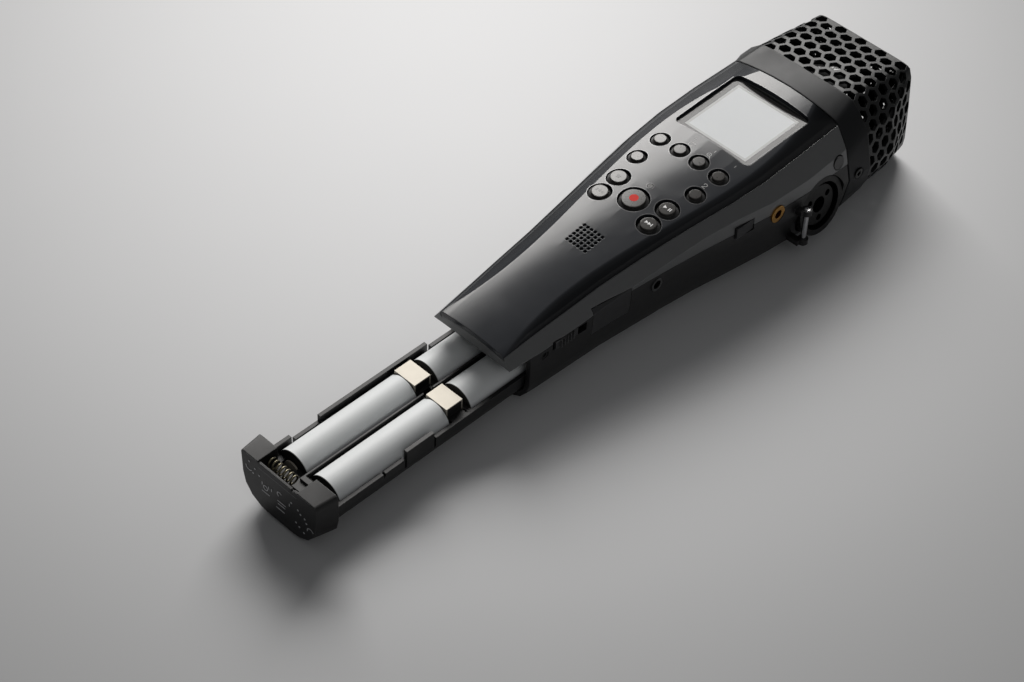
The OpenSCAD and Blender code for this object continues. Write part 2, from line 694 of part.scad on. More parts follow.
module mic_capsule(side) {
  color([0.55, 0.55, 0.57]) place() translate([0, capsule_y, head_c[1] + side * capsule_step])
    rotate([0, 90, 90 - side * 45]) difference() {
      translate([0, 0, -capsule_len / 2]) cylinder(r = capsule_r, h = capsule_len);
      translate([0, 0, capsule_len / 2 - capsule_mouth])
        cylinder(r = capsule_r - capsule_mouth, h = capsule_mouth + over);
    }
}

module mic_capsule_right() {
  mic_capsule(1);
}

module mic_capsule_left() {
  mic_capsule(-1);
}

// Display lens and display module under the window
module lens_frame(drop) {
  translate([0, window_y, lens_low_z + sin(lens_tilt) * window_len / 2 - drop])
    rotate([lens_tilt, 0, 0]) children();
}

module display_lens() {
  color([0.85, 0.86, 0.85]) place() lens_frame(lens_t) linear_extrude(lens_t)
    window_shape(window_half_w - lens_gap, window_len - 2 * lens_gap, window_corner_r);
}

module display_panel() {
  color([0.6, 0.6, 0.58]) place() lens_frame(lens_t + eps + display_t) linear_extrude(display_t)
    square([2 * (window_half_w - display_margin), window_len - 2 * display_margin], center = true);
}

// Boards
board_t = 1.2;
key_board_len = 44;
key_board_edge = 1;
key_board_w = 2 * (middle_key_x + small_key_r + key_board_edge);
key_board_back = 71;
key_board_y = body_len - key_board_back;
main_board_z = 15.6;
main_board_from = 26;
main_board_back = 48;
main_board_to = body_len - main_board_back;
board_margin = 4.2;
input_board_z = 18.2;
input_board_w = 44;
input_board_len = 27;

module key_board() {
  color([0.1, 0.35, 0.2]) place() on_panel(0, key_board_y)
    translate([-key_board_w / 2, -key_board_len / 2, -key_reach - key_travel - board_t - 2 * fit_gap])
      cube([key_board_w, key_board_len, board_t]);
}

module main_board() {
  color([0.1, 0.4, 0.22]) place() translate([0, 0, main_board_z]) linear_extrude(board_t)
    polygon([[edge_x(main_board_from) - board_margin / 2, main_board_from],
      [edge_x(main_board_to) - board_margin, main_board_to],
      [-edge_x(main_board_to) + board_margin, main_board_to],
      [-edge_x(main_board_from) + board_margin / 2, main_board_from]]);
}

module input_board() {
  color([0.1, 0.38, 0.2]) place()
    translate([-input_board_w / 2, combo_y - input_board_len / 2, input_board_z])
      cube([input_board_w, input_board_len, board_t]);
}

module speaker() {
  color([0.25, 0.25, 0.26]) place()
    translate([0, speaker_y, crown_z(speaker_y) - panel_t - deck_gap - deck_t - speaker_drop])
      rotate([speaker_tilt, 0, 0]) translate([0, 0, -speaker_t]) {
        cylinder(r = speaker_r, h = speaker_t / 2);
        translate([0, 0, speaker_t / 2 - eps]) cylinder(r = speaker_r - over, h = speaker_t / 2 + eps);
      }
}

module status_lamp() {
  color([0.85, 0.85, 0.85]) place() on_panel(0, lamp_y)
    translate([0, 0, -key_reach - key_travel]) cylinder(r = lamp_r - eps, h = key_reach + key_travel);
}

// Battery bay: a plate over the tray with the posts that carry the main board
bay_plate_z = 7.9;
bay_plate_t = 1.2;
bay_gap = 0.4;
bay_from = shell_tail_y + over;
bay_to = screw_y + bay_over;
bay_end_t = 1.5;
post_r = 1.8;
post_ys = [38, 106];
post_x = 9;

module battery_bay() {
  color([0.16, 0.16, 0.17]) place() difference() {
    union() {
      translate([0, 0, bay_plate_z]) linear_extrude(bay_plate_t) polygon(concat(
        [for (y = stations(bay_from, bay_to)) [side_x(y, bay_plate_z) - shell_wall - bay_gap, y]],
        [for (i = [len(stations(bay_from, bay_to)) - 1:-1:0]) let (y = stations(bay_from, bay_to)[i])
          [-side_x(y, bay_plate_z) + shell_wall + bay_gap, y]]));
      for (s = [-1, 1], y = post_ys) translate([s * post_x, y, bay_plate_z])
        cylinder(r = post_r, h = main_board_z - bay_plate_z);
    }
    combo_room();
  }
}

// Room that the large jacks take in the bay's pieces
module combo_room() {
  for (s = [-1, 1]) combo_frame(s) translate([0, 0, -combo_depth - over])
    cylinder(r = flange_r + fit_gap, h = combo_depth + side_reach);
}

// End of the bay under the plate: a wall with two ribs to the bosses of the back screws
boss_rib_t = 1.6;

module bay_end() {
  color([0.16, 0.16, 0.17]) place() difference() {
    union() {
      box([-screw_x, bay_end_y, bottom_z(bay_end_y) + shell_wall + fit_gap],
        [screw_x, bay_end_y + bay_end_t, bay_plate_z - eps]);
      for (s = [-1, 1]) translate([s * screw_x, screw_y, boss_z])
        cylinder(r = boss_r, h = bay_plate_z - eps - boss_z);
      for (s = [-1, 1]) translate([s * screw_x - boss_rib_t / 2, bay_end_y, boss_z + over])
        cube([boss_rib_t, screw_y - bay_end_y, bay_plate_z - eps - boss_z - over]);
    }
    for (s = [-1, 1]) translate([s * screw_x, screw_y, bottom_z(screw_y)])
      cylinder(r = screw_r + eps / 2, h = screw_len + over);
    combo_room();
  }
}

// Stepped post on the bay plate that the volume wheel turns on
module wheel_post() {
  color([0.16, 0.16, 0.17]) place()
    translate([-wheel_x(), wheel_y, bay_plate_z + bay_plate_t + eps]) {
      cylinder(r = 2 * wheel_bore_r,
        h = wheel_z - wheel_t / 2 - fit_gap - bay_plate_z - bay_plate_t - eps);
      cylinder(r = wheel_bore_r - slide_gap,
        h = wheel_z + wheel_t / 2 + fit_gap - bay_plate_z - bay_plate_t - eps);
    }
}

// The bosses stand just clear of the shell's inner face
boss_z = bottom_z(screw_y) + shell_wall + fit_gap;

module back_screws() {
  color([0.3, 0.3, 0.31]) place() for (s = [-1, 1])
    translate([s * screw_x, screw_y, bottom_z(screw_y) + slide_gap]) difference() {
      union() {
        cylinder(r = screw_head_r, h = screw_head_h - 2 * slide_gap - eps);
        cylinder(r = screw_r, h = screw_len - slide_gap);
      }
      translate([0, 0, -over]) cylinder(r = screw_r, h = over + screw_sink, $fn = 6);
    }
}

module tripod_insert() {
  color([0.75, 0.6, 0.3]) place() translate([0, combo_y, bottom_z(combo_y) + eps]) difference() {
    cylinder(r = tripod_r + tripod_wall - eps, h = tripod_depth - 2 * eps);
    translate([0, 0, -over]) cylinder(r = tripod_r, h = over + tripod_depth - tripod_blind);
  }
}

bay_contact_w = 9;
bay_contact_t = 0.5;
bay_contact_h = 10;
bay_contact_bulge = 1;
module bay_contacts() {
  color([0.8, 0.76, 0.6]) place() for (s = [-1, 1]) translate([s * cell_pitch / 2, bay_end_y, 0]) {
    box([-bay_contact_w / 2, -bay_contact_t - eps, -bay_contact_h / 2],
      [bay_contact_w / 2, -eps, bay_contact_h / 2]);
    rotate([90, 0, 0]) translate([0, 0, bay_contact_t])
      cylinder(r1 = 2 * bay_contact_bulge, r2 = bay_contact_bulge, h = bay_contact_bulge / 2);
  }
}

// Large combination jacks: flange, barrel, gap for a plug's shell, and the insert
combo_depth = 22;
combo_gap = 1.6;
combo_barrel_r = 11;
combo_flange_t = 2;
combo_insert_sink = 1.2;
combo_ring_depth = 12;
combo_pin_r = 1.3;
combo_pin_at = 5.7;
combo_pin_depth = 10;

module combo_jack(side) {
  color([0.14, 0.14, 0.15]) place() combo_frame(side) difference() {
    union() {
      translate([0, 0, -combo_flange_t]) cylinder(r = flange_r, h = combo_flange_t);
      translate([0, 0, -combo_depth]) cylinder(r = combo_barrel_r, h = combo_depth - eps);
    }
    difference() {
      translate([0, 0, -combo_ring_depth]) cylinder(r = insert_r + combo_gap, h = combo_ring_depth + over);
      translate([0, 0, -combo_ring_depth - over])
        cylinder(r = insert_r, h = combo_ring_depth + over - combo_insert_sink);
    }
    translate([0, 0, -combo_depth + combo_flange_t]) cylinder(r = plug_large_r, h = combo_depth);
    for (a = [0, 120, 240]) rotate([0, 0, a]) translate([combo_pin_at, 0, -combo_pin_depth])
      cylinder(r = combo_pin_r, h = combo_pin_depth + over);
  }
}

module combo_jack_right() {
  combo_jack(1);
}

module combo_jack_left() {
  combo_jack(-1);
}

// Small jacks: a ring that shows outside, and a box body behind it
jack_depth = 13;
jack_proud = 0.3;
jack_box_w = 6.2;
line_box_w = 8;
jack_blind = 1;

module small_jack(side, y, z, ring_r, box_w) {
  translate([side * (side_x(y, z) + jack_proud), y, z]) along_x(side) difference() {
    union() {
      translate([0, 0, -jack_depth / 2]) cylinder(r = ring_r, h = jack_depth / 2);
      translate([-box_w / 2, -box_w / 2, -jack_depth - shell_wall - jack_proud])
        cube([box_w, box_w, jack_depth - fit_gap - jack_proud]);
    }
    translate([0, 0, -jack_depth - shell_wall + jack_blind]) cylinder(r = plug_small_r, h = 2 * jack_depth);
  }
}

module mic_line_jack() {
  color([0.85, 0.68, 0.35]) place() small_jack(1, line_jack_y, line_jack_z, line_ring_r, line_box_w);
}

module timecode_jack() {
  color([0.5, 0.5, 0.5]) place() small_jack(1, time_jack_y, time_jack_z, time_ring_r, jack_box_w);
}

module phones_jack() {
  color([0.5, 0.5, 0.5]) place() small_jack(-1, phones_y, time_jack_z, time_ring_r, jack_box_w);
}

usb_depth = 9;
usb_shell = 0.4;
usb_tongue_t = 0.7;
module usb_port() {
  color([0.65, 0.65, 0.67]) place() translate([-side_x(usb_y, usb_z), usb_y, usb_z]) {
    difference() {
      box([0, -usb_w / 2, -usb_h / 2], [usb_depth, usb_w / 2, usb_h / 2]);
      box([-over, -usb_w / 2 + usb_shell, -usb_h / 2 + usb_shell],
        [usb_depth - over, usb_w / 2 - usb_shell, usb_h / 2 - usb_shell]);
    }
    box([over, -usb_w / 2 + 3 * usb_shell, -usb_tongue_t / 2],
      [usb_depth - over + eps, usb_w / 2 - 3 * usb_shell, usb_tongue_t / 2]);
  }
}

card_w = 11.4;
card_t = 1.1;
socket_w = 14;
socket_h = 2.2;
socket_depth = 13;
socket_back = 4.2;
module card_socket() {
  color([0.7, 0.7, 0.72]) place()
    translate([crease_x(door_y) - socket_back, door_y, main_board_z - socket_h - eps]) difference() {
      box([-socket_depth, -socket_w / 2, 0], [0, socket_w / 2, socket_h]);
      box([-socket_depth + over, -card_w / 2, (socket_h - card_t) / 2],
        [over, card_w / 2, (socket_h + card_t) / 2]);
    }
}

switch_base_gap = 0.9;
switch_base_len = 10;
switch_base_w = 5;
knob_len = 11;
knob_back = 2.5;
knob_proud = 0.7;
knob_offset = -1.6;
knob_stem = 1.6;
knob_stem_w = 2.4;
knob_stem_h = 1.6;
knob_rib_w = 0.6;
knob_rib_pitch = 1.5;
knob_ribs = 5;

module switch_base() {
  color([0.6, 0.6, 0.62]) place()
    translate([crease_x(switch_y) - knob_back - switch_base_gap - switch_base_w, switch_y, switch_z])
    difference() {
      box([0, -switch_base_len / 2, -switch_h / 2],
        [switch_base_w, switch_base_len / 2, main_board_z - switch_z - eps]);
      box([switch_base_w - knob_stem, -switch_base_len / 2 + over, -knob_stem_h / 2 - fit_gap],
        [switch_base_w + over, switch_base_len / 2 - over, knob_stem_h / 2 + fit_gap]);
    }
}

module power_knob() {
  color([0.16, 0.16, 0.17]) place() translate([crease_x(switch_y), switch_y + knob_offset, switch_z]) {
    box([-knob_back, -knob_len / 2, -switch_h / 2 + slide_gap], [0, knob_len / 2, switch_h / 2 - slide_gap]);
    for (i = [0:knob_ribs - 1]) translate([-eps, (i - (knob_ribs - 1) / 2) * knob_rib_pitch, 0])
      box([0, -knob_rib_w / 2, -switch_h / 2 + slide_gap],
        [knob_proud, knob_rib_w / 2, switch_h / 2 - slide_gap]);
    box([-knob_back - knob_stem, -knob_stem_w / 2, -knob_stem_h / 2],
      [-knob_back + eps, knob_stem_w / 2, knob_stem_h / 2]);
  }
}

side_plug_len = 1.9;
module side_plug() {
  color([0.1, 0.1, 0.1]) place()
    translate([side_x(plug_y, plug_z) - jack_proud, plug_y, plug_z]) along_x(1) difference() {
      translate([0, 0, -side_plug_len]) cylinder(r = side_plug_r, h = side_plug_len);
      translate([0, 0, -over / 2]) cylinder(r = side_plug_r / 2, h = over);
    }
}

// Moving pieces on the sides
menu_proud = 0.4;
menu_depth = 4;
menu_flange = 0.8;
module menu_button() {
  color([0.18, 0.18, 0.19]) place() translate([side_x(menu_y, menu_z), menu_y, menu_z]) {
    box([-menu_depth, -menu_len / 2 + slide_gap, -menu_h / 2 + slide_gap],
      [menu_proud, menu_len / 2 - slide_gap, menu_h / 2 - slide_gap]);
    box([-menu_depth - over, -menu_len / 2 - menu_flange, -menu_h / 2 - menu_flange],
      [-menu_depth + eps, menu_len / 2 + menu_flange, menu_h / 2 + menu_flange]);
  }
}

tab_proud = 0.3;
tab_depth = 3.4;
module jack_tab(side) {
  color([0.16, 0.16, 0.17]) place() tab_frame(side) translate([0, 0, -tab_depth])
    cylinder(r = tab_r, h = tab_depth + tab_proud);
}

module jack_tab_right() {
  jack_tab(1);
}

module jack_tab_left() {
  jack_tab(-1);
}

function wheel_x() = side_x(wheel_y, wheel_z) + wheel_proud - wheel_r;
wheel_bore_r = 1.5;
wheel_notches = 24;
wheel_notch_r = 0.5;
module volume_wheel() {
  color([0.15, 0.15, 0.15]) place() translate([-wheel_x(), wheel_y, wheel_z - wheel_t / 2]) difference() {
    cylinder(r = wheel_r, h = wheel_t);
    translate([0, 0, -over]) cylinder(r = wheel_bore_r, h = wheel_t + 2 * over);
    for (i = [0:wheel_notches - 1]) rotate([0, 0, i * 360 / wheel_notches])
      translate([wheel_r, 0, -over]) cylinder(r = wheel_notch_r, h = wheel_t + 2 * over, $fn = 6);
  }
}

// The door is cut from the same skin as the shells round it
door_gap = 0.25;
door_skin = 1.6;
door_bevel_share = 0.45;
door_top_z = door_high_z - door_gap;
function door_side(y, skin) = let (z = min(crease_z(y), door_top_z - part_lip))
  [[side_x(y, door_top_z) - skin, door_top_z - skin * door_bevel_share],
  [side_x(y, z) - skin, z - skin / 2], [wide_x(y) - skin, wide_z],
  [foot_x(y) - skin, bottom_z(y) + foot_r]];
door_ys = [door_y - door_len / 2 - over, door_y, door_y + door_len / 2 + over];
module card_door() {
  color([0.19, 0.19, 0.2]) place() intersection() {
    wall_loft([for (y = door_ys) [y, door_side(y, 0), door_side(y, door_skin)]]);
    box([0, door_y - door_len / 2 + door_gap, door_low_z + door_gap],
      [2 * body_half_w, door_y + door_len / 2 - door_gap, door_high_z]);
  }
}

// Keys: a skirt under the panel's face, a narrower cap that rises over it, and a stem
function stem_reach(x, y) = key_reach + fit_gap + cos(key_tilt)
  * (skin_z(x, y) - skin_z(0, key_board_y) - (y - key_board_y) * tan(key_tilt));
module key(i) {
  r = keys[i][2];
  cap_r = r - key_skirt_gap - key_rim;
  reach = stem_reach(keys[i][0], keys[i][1]);
  on_panel(keys[i][0], keys[i][1]) rotate_extrude() polygon([
    [0, -reach], [key_stem_r, -reach], [key_stem_r, key_skirt_top - key_skirt_h],
    [r - key_skirt_gap, key_skirt_top - key_skirt_h], [r - key_skirt_gap, key_skirt_top],
    [cap_r, key_skirt_top + key_rise], [cap_r, key_rise - key_dome], [cap_r - key_dome, key_rise],
    [0, key_rise]]);
}

module display_key_1() {
  color([0.2, 0.2, 0.21]) place() key(0);
}

module display_key_2() {
  color([0.2, 0.2, 0.21]) place() key(1);
}

module display_key_3() {
  color([0.2, 0.2, 0.21]) place() key(2);
}

module display_key_4() {
  color([0.2, 0.2, 0.21]) place() key(3);
}

module middle_key_left() {
  color([0.2, 0.2, 0.21]) place() key(4);
}

module middle_key_right() {
  color([0.2, 0.2, 0.21]) place() key(5);
}

module transport_key_1() {
  color([0.2, 0.2, 0.21]) place() key(6);
}

module transport_key_2() {
  color([0.2, 0.2, 0.21]) place() key(7);
}

module transport_key_3() {
  color([0.2, 0.2, 0.21]) place() key(8);
}

module transport_key_4() {
  color([0.2, 0.2, 0.21]) place() key(9);
}

module record_key() {
  color([0.24, 0.22, 0.22]) place() key(10);
}

// Battery tray, drawn where it lies when it is pushed home, then moved out
rib_half_w = 0.35;
rib_top_z = 4.2;
contact_t = 0.4;
link_len = 7.8;
divider_from = cell_clear + contact_t + eps;
divider_to = link_len - contact_t - eps;
divider_wall = 1.1;
divider_w = 4.8;
divider_top_z = 6.1;
divider_hole = 2;
fence_left = [32.4, 82.2];
fence_slit = 2;
clip_left = [fit_gap + cap_len + eps, 19.5];
clip_h = 5;
clip_slit = 1.6;
tab_right = [42.2, 54.8];
tab_top_z = 5.7;
tab_slit = 0.9;
tab_root_z = -2;
notch_y = 31.6;

// Filled outline of the tray up to a height, and its wall round the cells
module tray_outline(top_z) {
  for (s = [-1, 1]) translate([s * cell_pitch / 2, 0]) circle(tray_out_r);
  translate([-cell_pitch / 2, -tray_out_r]) square([cell_pitch, tray_out_r]);
  translate([-tray_half_w, 0]) square([2 * tray_half_w, top_z]);
}

module tray_solid(top_z) {
  difference() {
    tray_outline(top_z);
    translate([-tray_half_w - over, top_z]) square([2 * (tray_half_w + over), 2 * tray_out_r]);
  }
}

module tray_profile(top_z) {
  difference() {
    tray_solid(top_z);
    for (s = [-1, 1]) translate([s * cell_pitch / 2, 0]) circle(tray_in_r);
    translate([-tray_half_w + tray_wall, 0]) square([2 * (tray_half_w - tray_wall), 2 * tray_out_r]);
  }
}

module tray_frame() {
  color([0.16, 0.16, 0.17]) tray_place() {
    difference() {
      union() {
        along_y(fit_gap + cap_len, tray_to) tray_profile(rail_h);
        along_y(fence_left[0], fence_left[1]) intersection() {
          tray_profile(fence_h);
          translate([-tray_half_w, 0]) square([tray_wall, fence_h]);
        }
        along_y(clip_left[0], clip_left[1]) intersection() {
          tray_profile(clip_h);
          translate([-tray_half_w, 0]) square([tray_wall, clip_h]);
        }
        along_y(tab_right[0], tab_right[1]) intersection() {
          tray_profile(tab_top_z);
          translate([tray_half_w - tray_wall, 0]) square([tray_wall, tab_top_z]);
        }
        box([-rib_half_w, fit_gap + cap_len, -tray_in_r], [rib_half_w, tray_to, rib_top_z]);
        along_y(tray_to - tray_end_t, tray_to) tray_solid(rail_h);
        along_y(fit_gap + cap_len, cell_from - cell_clear) tray_solid(rail_h);
        along_y(cell_mid + divider_from, cell_mid + divider_to) tray_solid(rail_h);
        for (s = [-1, 1]) translate([s * cell_pitch / 2, 0, 0])
          box([-divider_w, cell_mid + divider_from, 0], [divider_w, cell_mid + divider_to, divider_top_z]);
        along_y(cell_mid + link_len + eps, cell_mid + cell_gap - cell_clear) tray_solid(rail_h);
      }
      box([-divider_hole, cell_mid + divider_from + divider_wall, -cell_r],
        [divider_hole, cell_mid + divider_to - divider_wall, 2 * cell_r]);
      box([-tray_half_w - over, fence_left[1], 0],
        [-tray_half_w + tray_wall + eps, fence_left[1] + fence_slit, 2 * cell_r]);
      box([-tray_half_w - over, clip_left[1], 0],
        [-tray_half_w + tray_wall + eps, clip_left[1] + clip_slit, 2 * cell_r]);
      for (y = [tab_right[0] - tab_slit, tab_right[1], notch_y])
        box([tray_half_w - tray_wall - eps, y, y == notch_y ? rail_h - clip_slit : tab_root_z],
          [tray_half_w + over, y + tab_slit, 2 * cell_r]);
      for (y = [cell_to, cell_from - cell_clear - tray_end_t]) for (s = [-1, 1])
        translate([s * cell_pitch / 2, y + tray_end_t + over + cell_clear, 0]) rotate([90, 0, 0])
          cylinder(r = terminal_r, h = tray_end_t + 2 * over + cell_clear);
    }
  }
}

// End cap: two raised blocks, a recess for the latch between them, a thin front lip
cap_recess = [-10.2, 9];
cap_recess_floor = 4.4;
cap_lip = 1;
cap_lip_drop = 0.5;
cap_notch_x = 6.2;
cap_notch_w = 1.2;
cap_notch_h = 1.1;
cap_fillet = 1.3;
cap_fillet_share = 0.29;

function cap_half(y, top) = concat([[0, top], [side_x(y, top) - cap_fillet, top],
  [side_x(y, top) - cap_fillet_share * cap_fillet, top - cap_fillet_share * cap_fillet],
  [side_x(y, top), top - cap_fillet], [wide_x(y), wide_z], [foot_x(y), bottom_z(y) + foot_r]],
  foot_half(y, 0), [[0, bottom_z(y)]]);

module tray_cap() {
  color([0.2, 0.2, 0.21]) tray_place() difference() {
    loft([for (y = [fit_gap, fit_gap + cap_len]) ring(cap_half(y - fit_gap, cap_top), y)]);
    box([cap_recess[0], fit_gap + cap_lip, cap_recess_floor],
      [cap_recess[1], fit_gap + cap_len + over, cap_top + over]);
    box([cap_recess[0], -over, cap_top - cap_lip_drop],
      [cap_recess[1], fit_gap + cap_lip + eps, cap_top + over]);
    box([cap_notch_x, -over, cap_top - cap_notch_h],
      [cap_notch_x + cap_notch_w, fit_gap + cap_lip + eps, cap_top + over]);
  }
}

module cell(row, side) {
  tray_place() translate([side * cell_pitch / 2, cell_from + row * (cell_len + cell_gap), 0])
    rotate([-90, 0, 0]) {
      cylinder(r = cell_r, h = cell_len);
      translate([0, 0, -nub_h]) cylinder(r = nub_r, h = nub_h + eps);
    }
}
nub_r = 2.6;
nub_h = 0.2;
terminal_r = 4;

module cell_outer_right() {
  color([0.85, 0.86, 0.87]) cell(0, 1);
}

module cell_outer_left() {
  color([0.85, 0.86, 0.87]) cell(0, -1);
}

module cell_inner_right() {
  color([0.85, 0.86, 0.87]) cell(1, 1);
}

module cell_inner_left() {
  color([0.85, 0.86, 0.87]) cell(1, -1);
}

// Bent link plates between the outer and inner cells, and spring plates at the cap
link_half_w = 5;
link_top_z = 6.9;
link_low_z = -3;
end_plate_r = 3.6;
end_plate_back = 0.6;

module cell_contacts() {
  color([0.9, 0.88, 0.84]) tray_place() {
    for (s = [-1, 1]) translate([s * cell_pitch / 2, 0, 0]) difference() {
      box([-link_half_w, cell_mid + cell_clear, link_low_z],
        [link_half_w, cell_mid + link_len, link_top_z]);
      box([-link_half_w - over, cell_mid + cell_clear + contact_t, link_low_z - over],
        [link_half_w + over, cell_mid + link_len - contact_t, link_top_z - contact_t]);
    }
    for (s = [-1, 1]) translate([s * cell_pitch / 2, cell_from - cell_clear - nub_h, 0]) rotate([90, 0, 0])
      cylinder(r = end_plate_r, h = end_plate_back);
  }
}

// Latch spring: one unbroken tube whose axis runs along X
spring_y = 5.2;
spring_z = 8.2;
spring_sides = 6;
spring_rings = 8;
spring_from = cap_recess[0] + slide_gap;
latch_x = 4.4;
spring_to = latch_x - slide_gap;
spring_lead = spring_wire_d;
spring_steps = spring_curls * spring_rings;
spring_run = spring_to - spring_from - 2 * spring_lead;
spring_line = concat([[spring_from, spring_r, 0]],
  [for (i = [0:spring_steps]) let (a = 360 * i / spring_rings)
    [spring_from + spring_lead + spring_run * i / spring_steps, spring_r * cos(a), spring_r * sin(a)]],
  [[spring_to, spring_r * cos(360 * spring_curls), spring_r * sin(360 * spring_curls)]]);
spring_gap = spring_run / spring_curls - spring_wire_d;
echo(spring_least_gap = spring_gap);

function unit(v) = v / norm(v);
function tangent(p, i) = i == 0 ? [1, 0, 0] : i == len(p) - 1 ? [1, 0, 0] : unit(p[i + 1] - p[i - 1]);
module tube(p, d, sides) {
  rings = [for (i = [0:len(p) - 1]) let (t = tangent(p, i),
    u = unit([0, p[i][1], p[i][2]] - t * ([0, p[i][1], p[i][2]] * t)), v = cross(t, u))
    [for (j = [0:sides - 1]) let (a = 360 * j / sides) p[i] + d / 2 * (cos(a) * u + sin(a) * v)]];
  n = sides;
  m = len(p);
  polyhedron(points = [for (r = rings) each r], faces = concat(
    [[for (j = [0:n - 1]) j], [for (j = [n - 1:-1:0]) (m - 1) * n + j]],
    [for (i = [0:m - 2], j = [0:n - 1]) [i * n + j, (i + 1) * n + j, (i + 1) * n + (j + 1) % n]],
    [for (i = [0:m - 2], j = [0:n - 1]) [i * n + j, (i + 1) * n + (j + 1) % n, i * n + (j + 1) % n]]
    ), convexity = 10);
}

module latch_spring() {
  color([0.75, 0.74, 0.66]) tray_place() translate([0, spring_y, spring_z])
    tube(spring_line, spring_wire_d, spring_sides);
}

// Latch: a sliding block with a finger lip, pushed to the right by the spring
latch_w = 4.2;
latch_len = 5.6;
latch_y = 2.2;
latch_h = 5.6;
latch_lip_h = 0.9;
latch_lip_len = 2;

module tray_latch() {
  color([0.12, 0.12, 0.12]) tray_place() translate([latch_x, latch_y, cap_recess_floor + slide_gap]) {
    cube([latch_w, latch_len, latch_h]);
    translate([0, latch_len - latch_lip_len, latch_h - eps])
      cube([latch_w, latch_lip_len, latch_lip_h + eps]);
  }
}

front_panel();
upper_housing();
lower_shell();
head_collar();
mic_cage();
mic_bracket();
mic_capsule_right();
mic_capsule_left();
display_lens();
display_panel();
key_board();
main_board();
input_board();
speaker();
status_lamp();
battery_bay();
bay_end();
wheel_post();
bay_contacts();
combo_jack_right();
combo_jack_left();
mic_line_jack();
timecode_jack();
phones_jack();
usb_port();
card_socket();
switch_base();
strap_pin_right();
strap_pin_left();
tripod_insert();
back_screws();
collar_screws();
side_plug();
tray_frame();
tray_cap();
cell_outer_right();
cell_outer_left();
cell_inner_right();
cell_inner_left();
cell_contacts();
latch_spring();
tray_latch();
display_key_1();
display_key_2();
display_key_3();
display_key_4();
middle_key_left();
middle_key_right();
transport_key_1();
transport_key_2();
transport_key_3();
transport_key_4();
record_key();
menu_button();
power_knob();
card_door();
jack_tab_right();
jack_tab_left();
volume_wheel();
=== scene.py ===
"""Looks of a handheld digital recorder with its battery tray drawn out.

The tables hold millimetres in the frame that the solids were drawn in: X across the
width, Y from the tail edge of the hood towards the microphones, Z up from the axis of
the battery cells. placed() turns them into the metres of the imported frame.
"""
import json
import math

import bmesh
import bpy
import numpy as np
from mathutils import Matrix, Vector
from mathutils.bvhtree import BVHTree


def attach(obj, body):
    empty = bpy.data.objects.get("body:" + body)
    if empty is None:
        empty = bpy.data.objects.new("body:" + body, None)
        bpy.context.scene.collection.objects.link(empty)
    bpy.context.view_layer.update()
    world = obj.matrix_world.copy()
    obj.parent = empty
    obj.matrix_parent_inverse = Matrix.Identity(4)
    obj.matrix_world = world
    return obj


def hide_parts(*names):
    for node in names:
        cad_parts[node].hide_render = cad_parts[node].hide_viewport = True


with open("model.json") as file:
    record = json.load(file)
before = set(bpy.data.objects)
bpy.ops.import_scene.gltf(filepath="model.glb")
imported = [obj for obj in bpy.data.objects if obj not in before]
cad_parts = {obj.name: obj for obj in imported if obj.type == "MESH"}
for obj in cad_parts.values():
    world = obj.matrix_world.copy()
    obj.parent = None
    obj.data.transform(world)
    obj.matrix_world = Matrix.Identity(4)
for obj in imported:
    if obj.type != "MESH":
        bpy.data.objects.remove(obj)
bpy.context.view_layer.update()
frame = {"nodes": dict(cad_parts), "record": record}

MM = 0.001
MID_Y = 60.65           # middle of the whole length with the tray drawn
FLOOR_Z = 12.0          # depth of the underside below the cells' axis
TRAY_OUT = 88.5         # how far the tray is drawn at rest
PANEL_ARCH_R = 100.0    # radius of the panel's arch across the width
WINDOW_Y = 138.4        # middle of the display window
CELL_LEN = 50.5
CELL_STARTS = (13.5, 73.9)  # tail ends of the two rows of cells with the tray in
VIEW_TURN = (2.2032, 0.9241, -0.3394)          # turn vector in radians
VIEW_PLACE = (0.422649, -0.493505, 0.639304)   # metres
VIEW_LENS = 88.4528
BODY_OF = {n: b for b, ns in frame["record"]["behaviour"]["bodies"].items() for n in ns}


def placed(points, drawn=0.0):
    """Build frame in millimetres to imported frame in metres: y counts from the middle of the
    whole length, less how far the piece is drawn out, and z from under the shell."""
    return (np.asarray(points, float) - (0.0, MID_Y + drawn, -FLOOR_Z)) * MM


# camera and colours
def set_camera():
    """The photograph's view: a turn about one axis by the turn vector's length, and a place."""
    camera = bpy.data.cameras.new("view")
    camera.sensor_width = 36.0
    camera.lens = VIEW_LENS
    camera.clip_start = 0.01
    holder = bpy.data.objects.new("view", camera)
    bpy.context.scene.collection.objects.link(holder)
    turn = Vector(VIEW_TURN)
    towards = Matrix.Rotation(turn.length, 3, turn.normalized()).transposed()
    facing = towards @ Matrix(((1, 0, 0), (0, -1, 0), (0, 0, -1)))
    holder.matrix_world = Matrix.Translation(VIEW_PLACE) @ facing.to_4x4()
    bpy.context.scene.camera = holder


def linear(level):
    """A shade from 0 to 255 as it shows on screen, as a linear value."""
    c = level / 255.0
    return c / 12.92 if c <= 0.04045 else ((c + 0.055) / 1.055) ** 2.4


def shade(*levels):
    """One grey level or three colour levels as a linear colour."""
    levels = levels * 3 if len(levels) == 1 else levels
    return tuple(linear(v) for v in levels) + (1.0,)


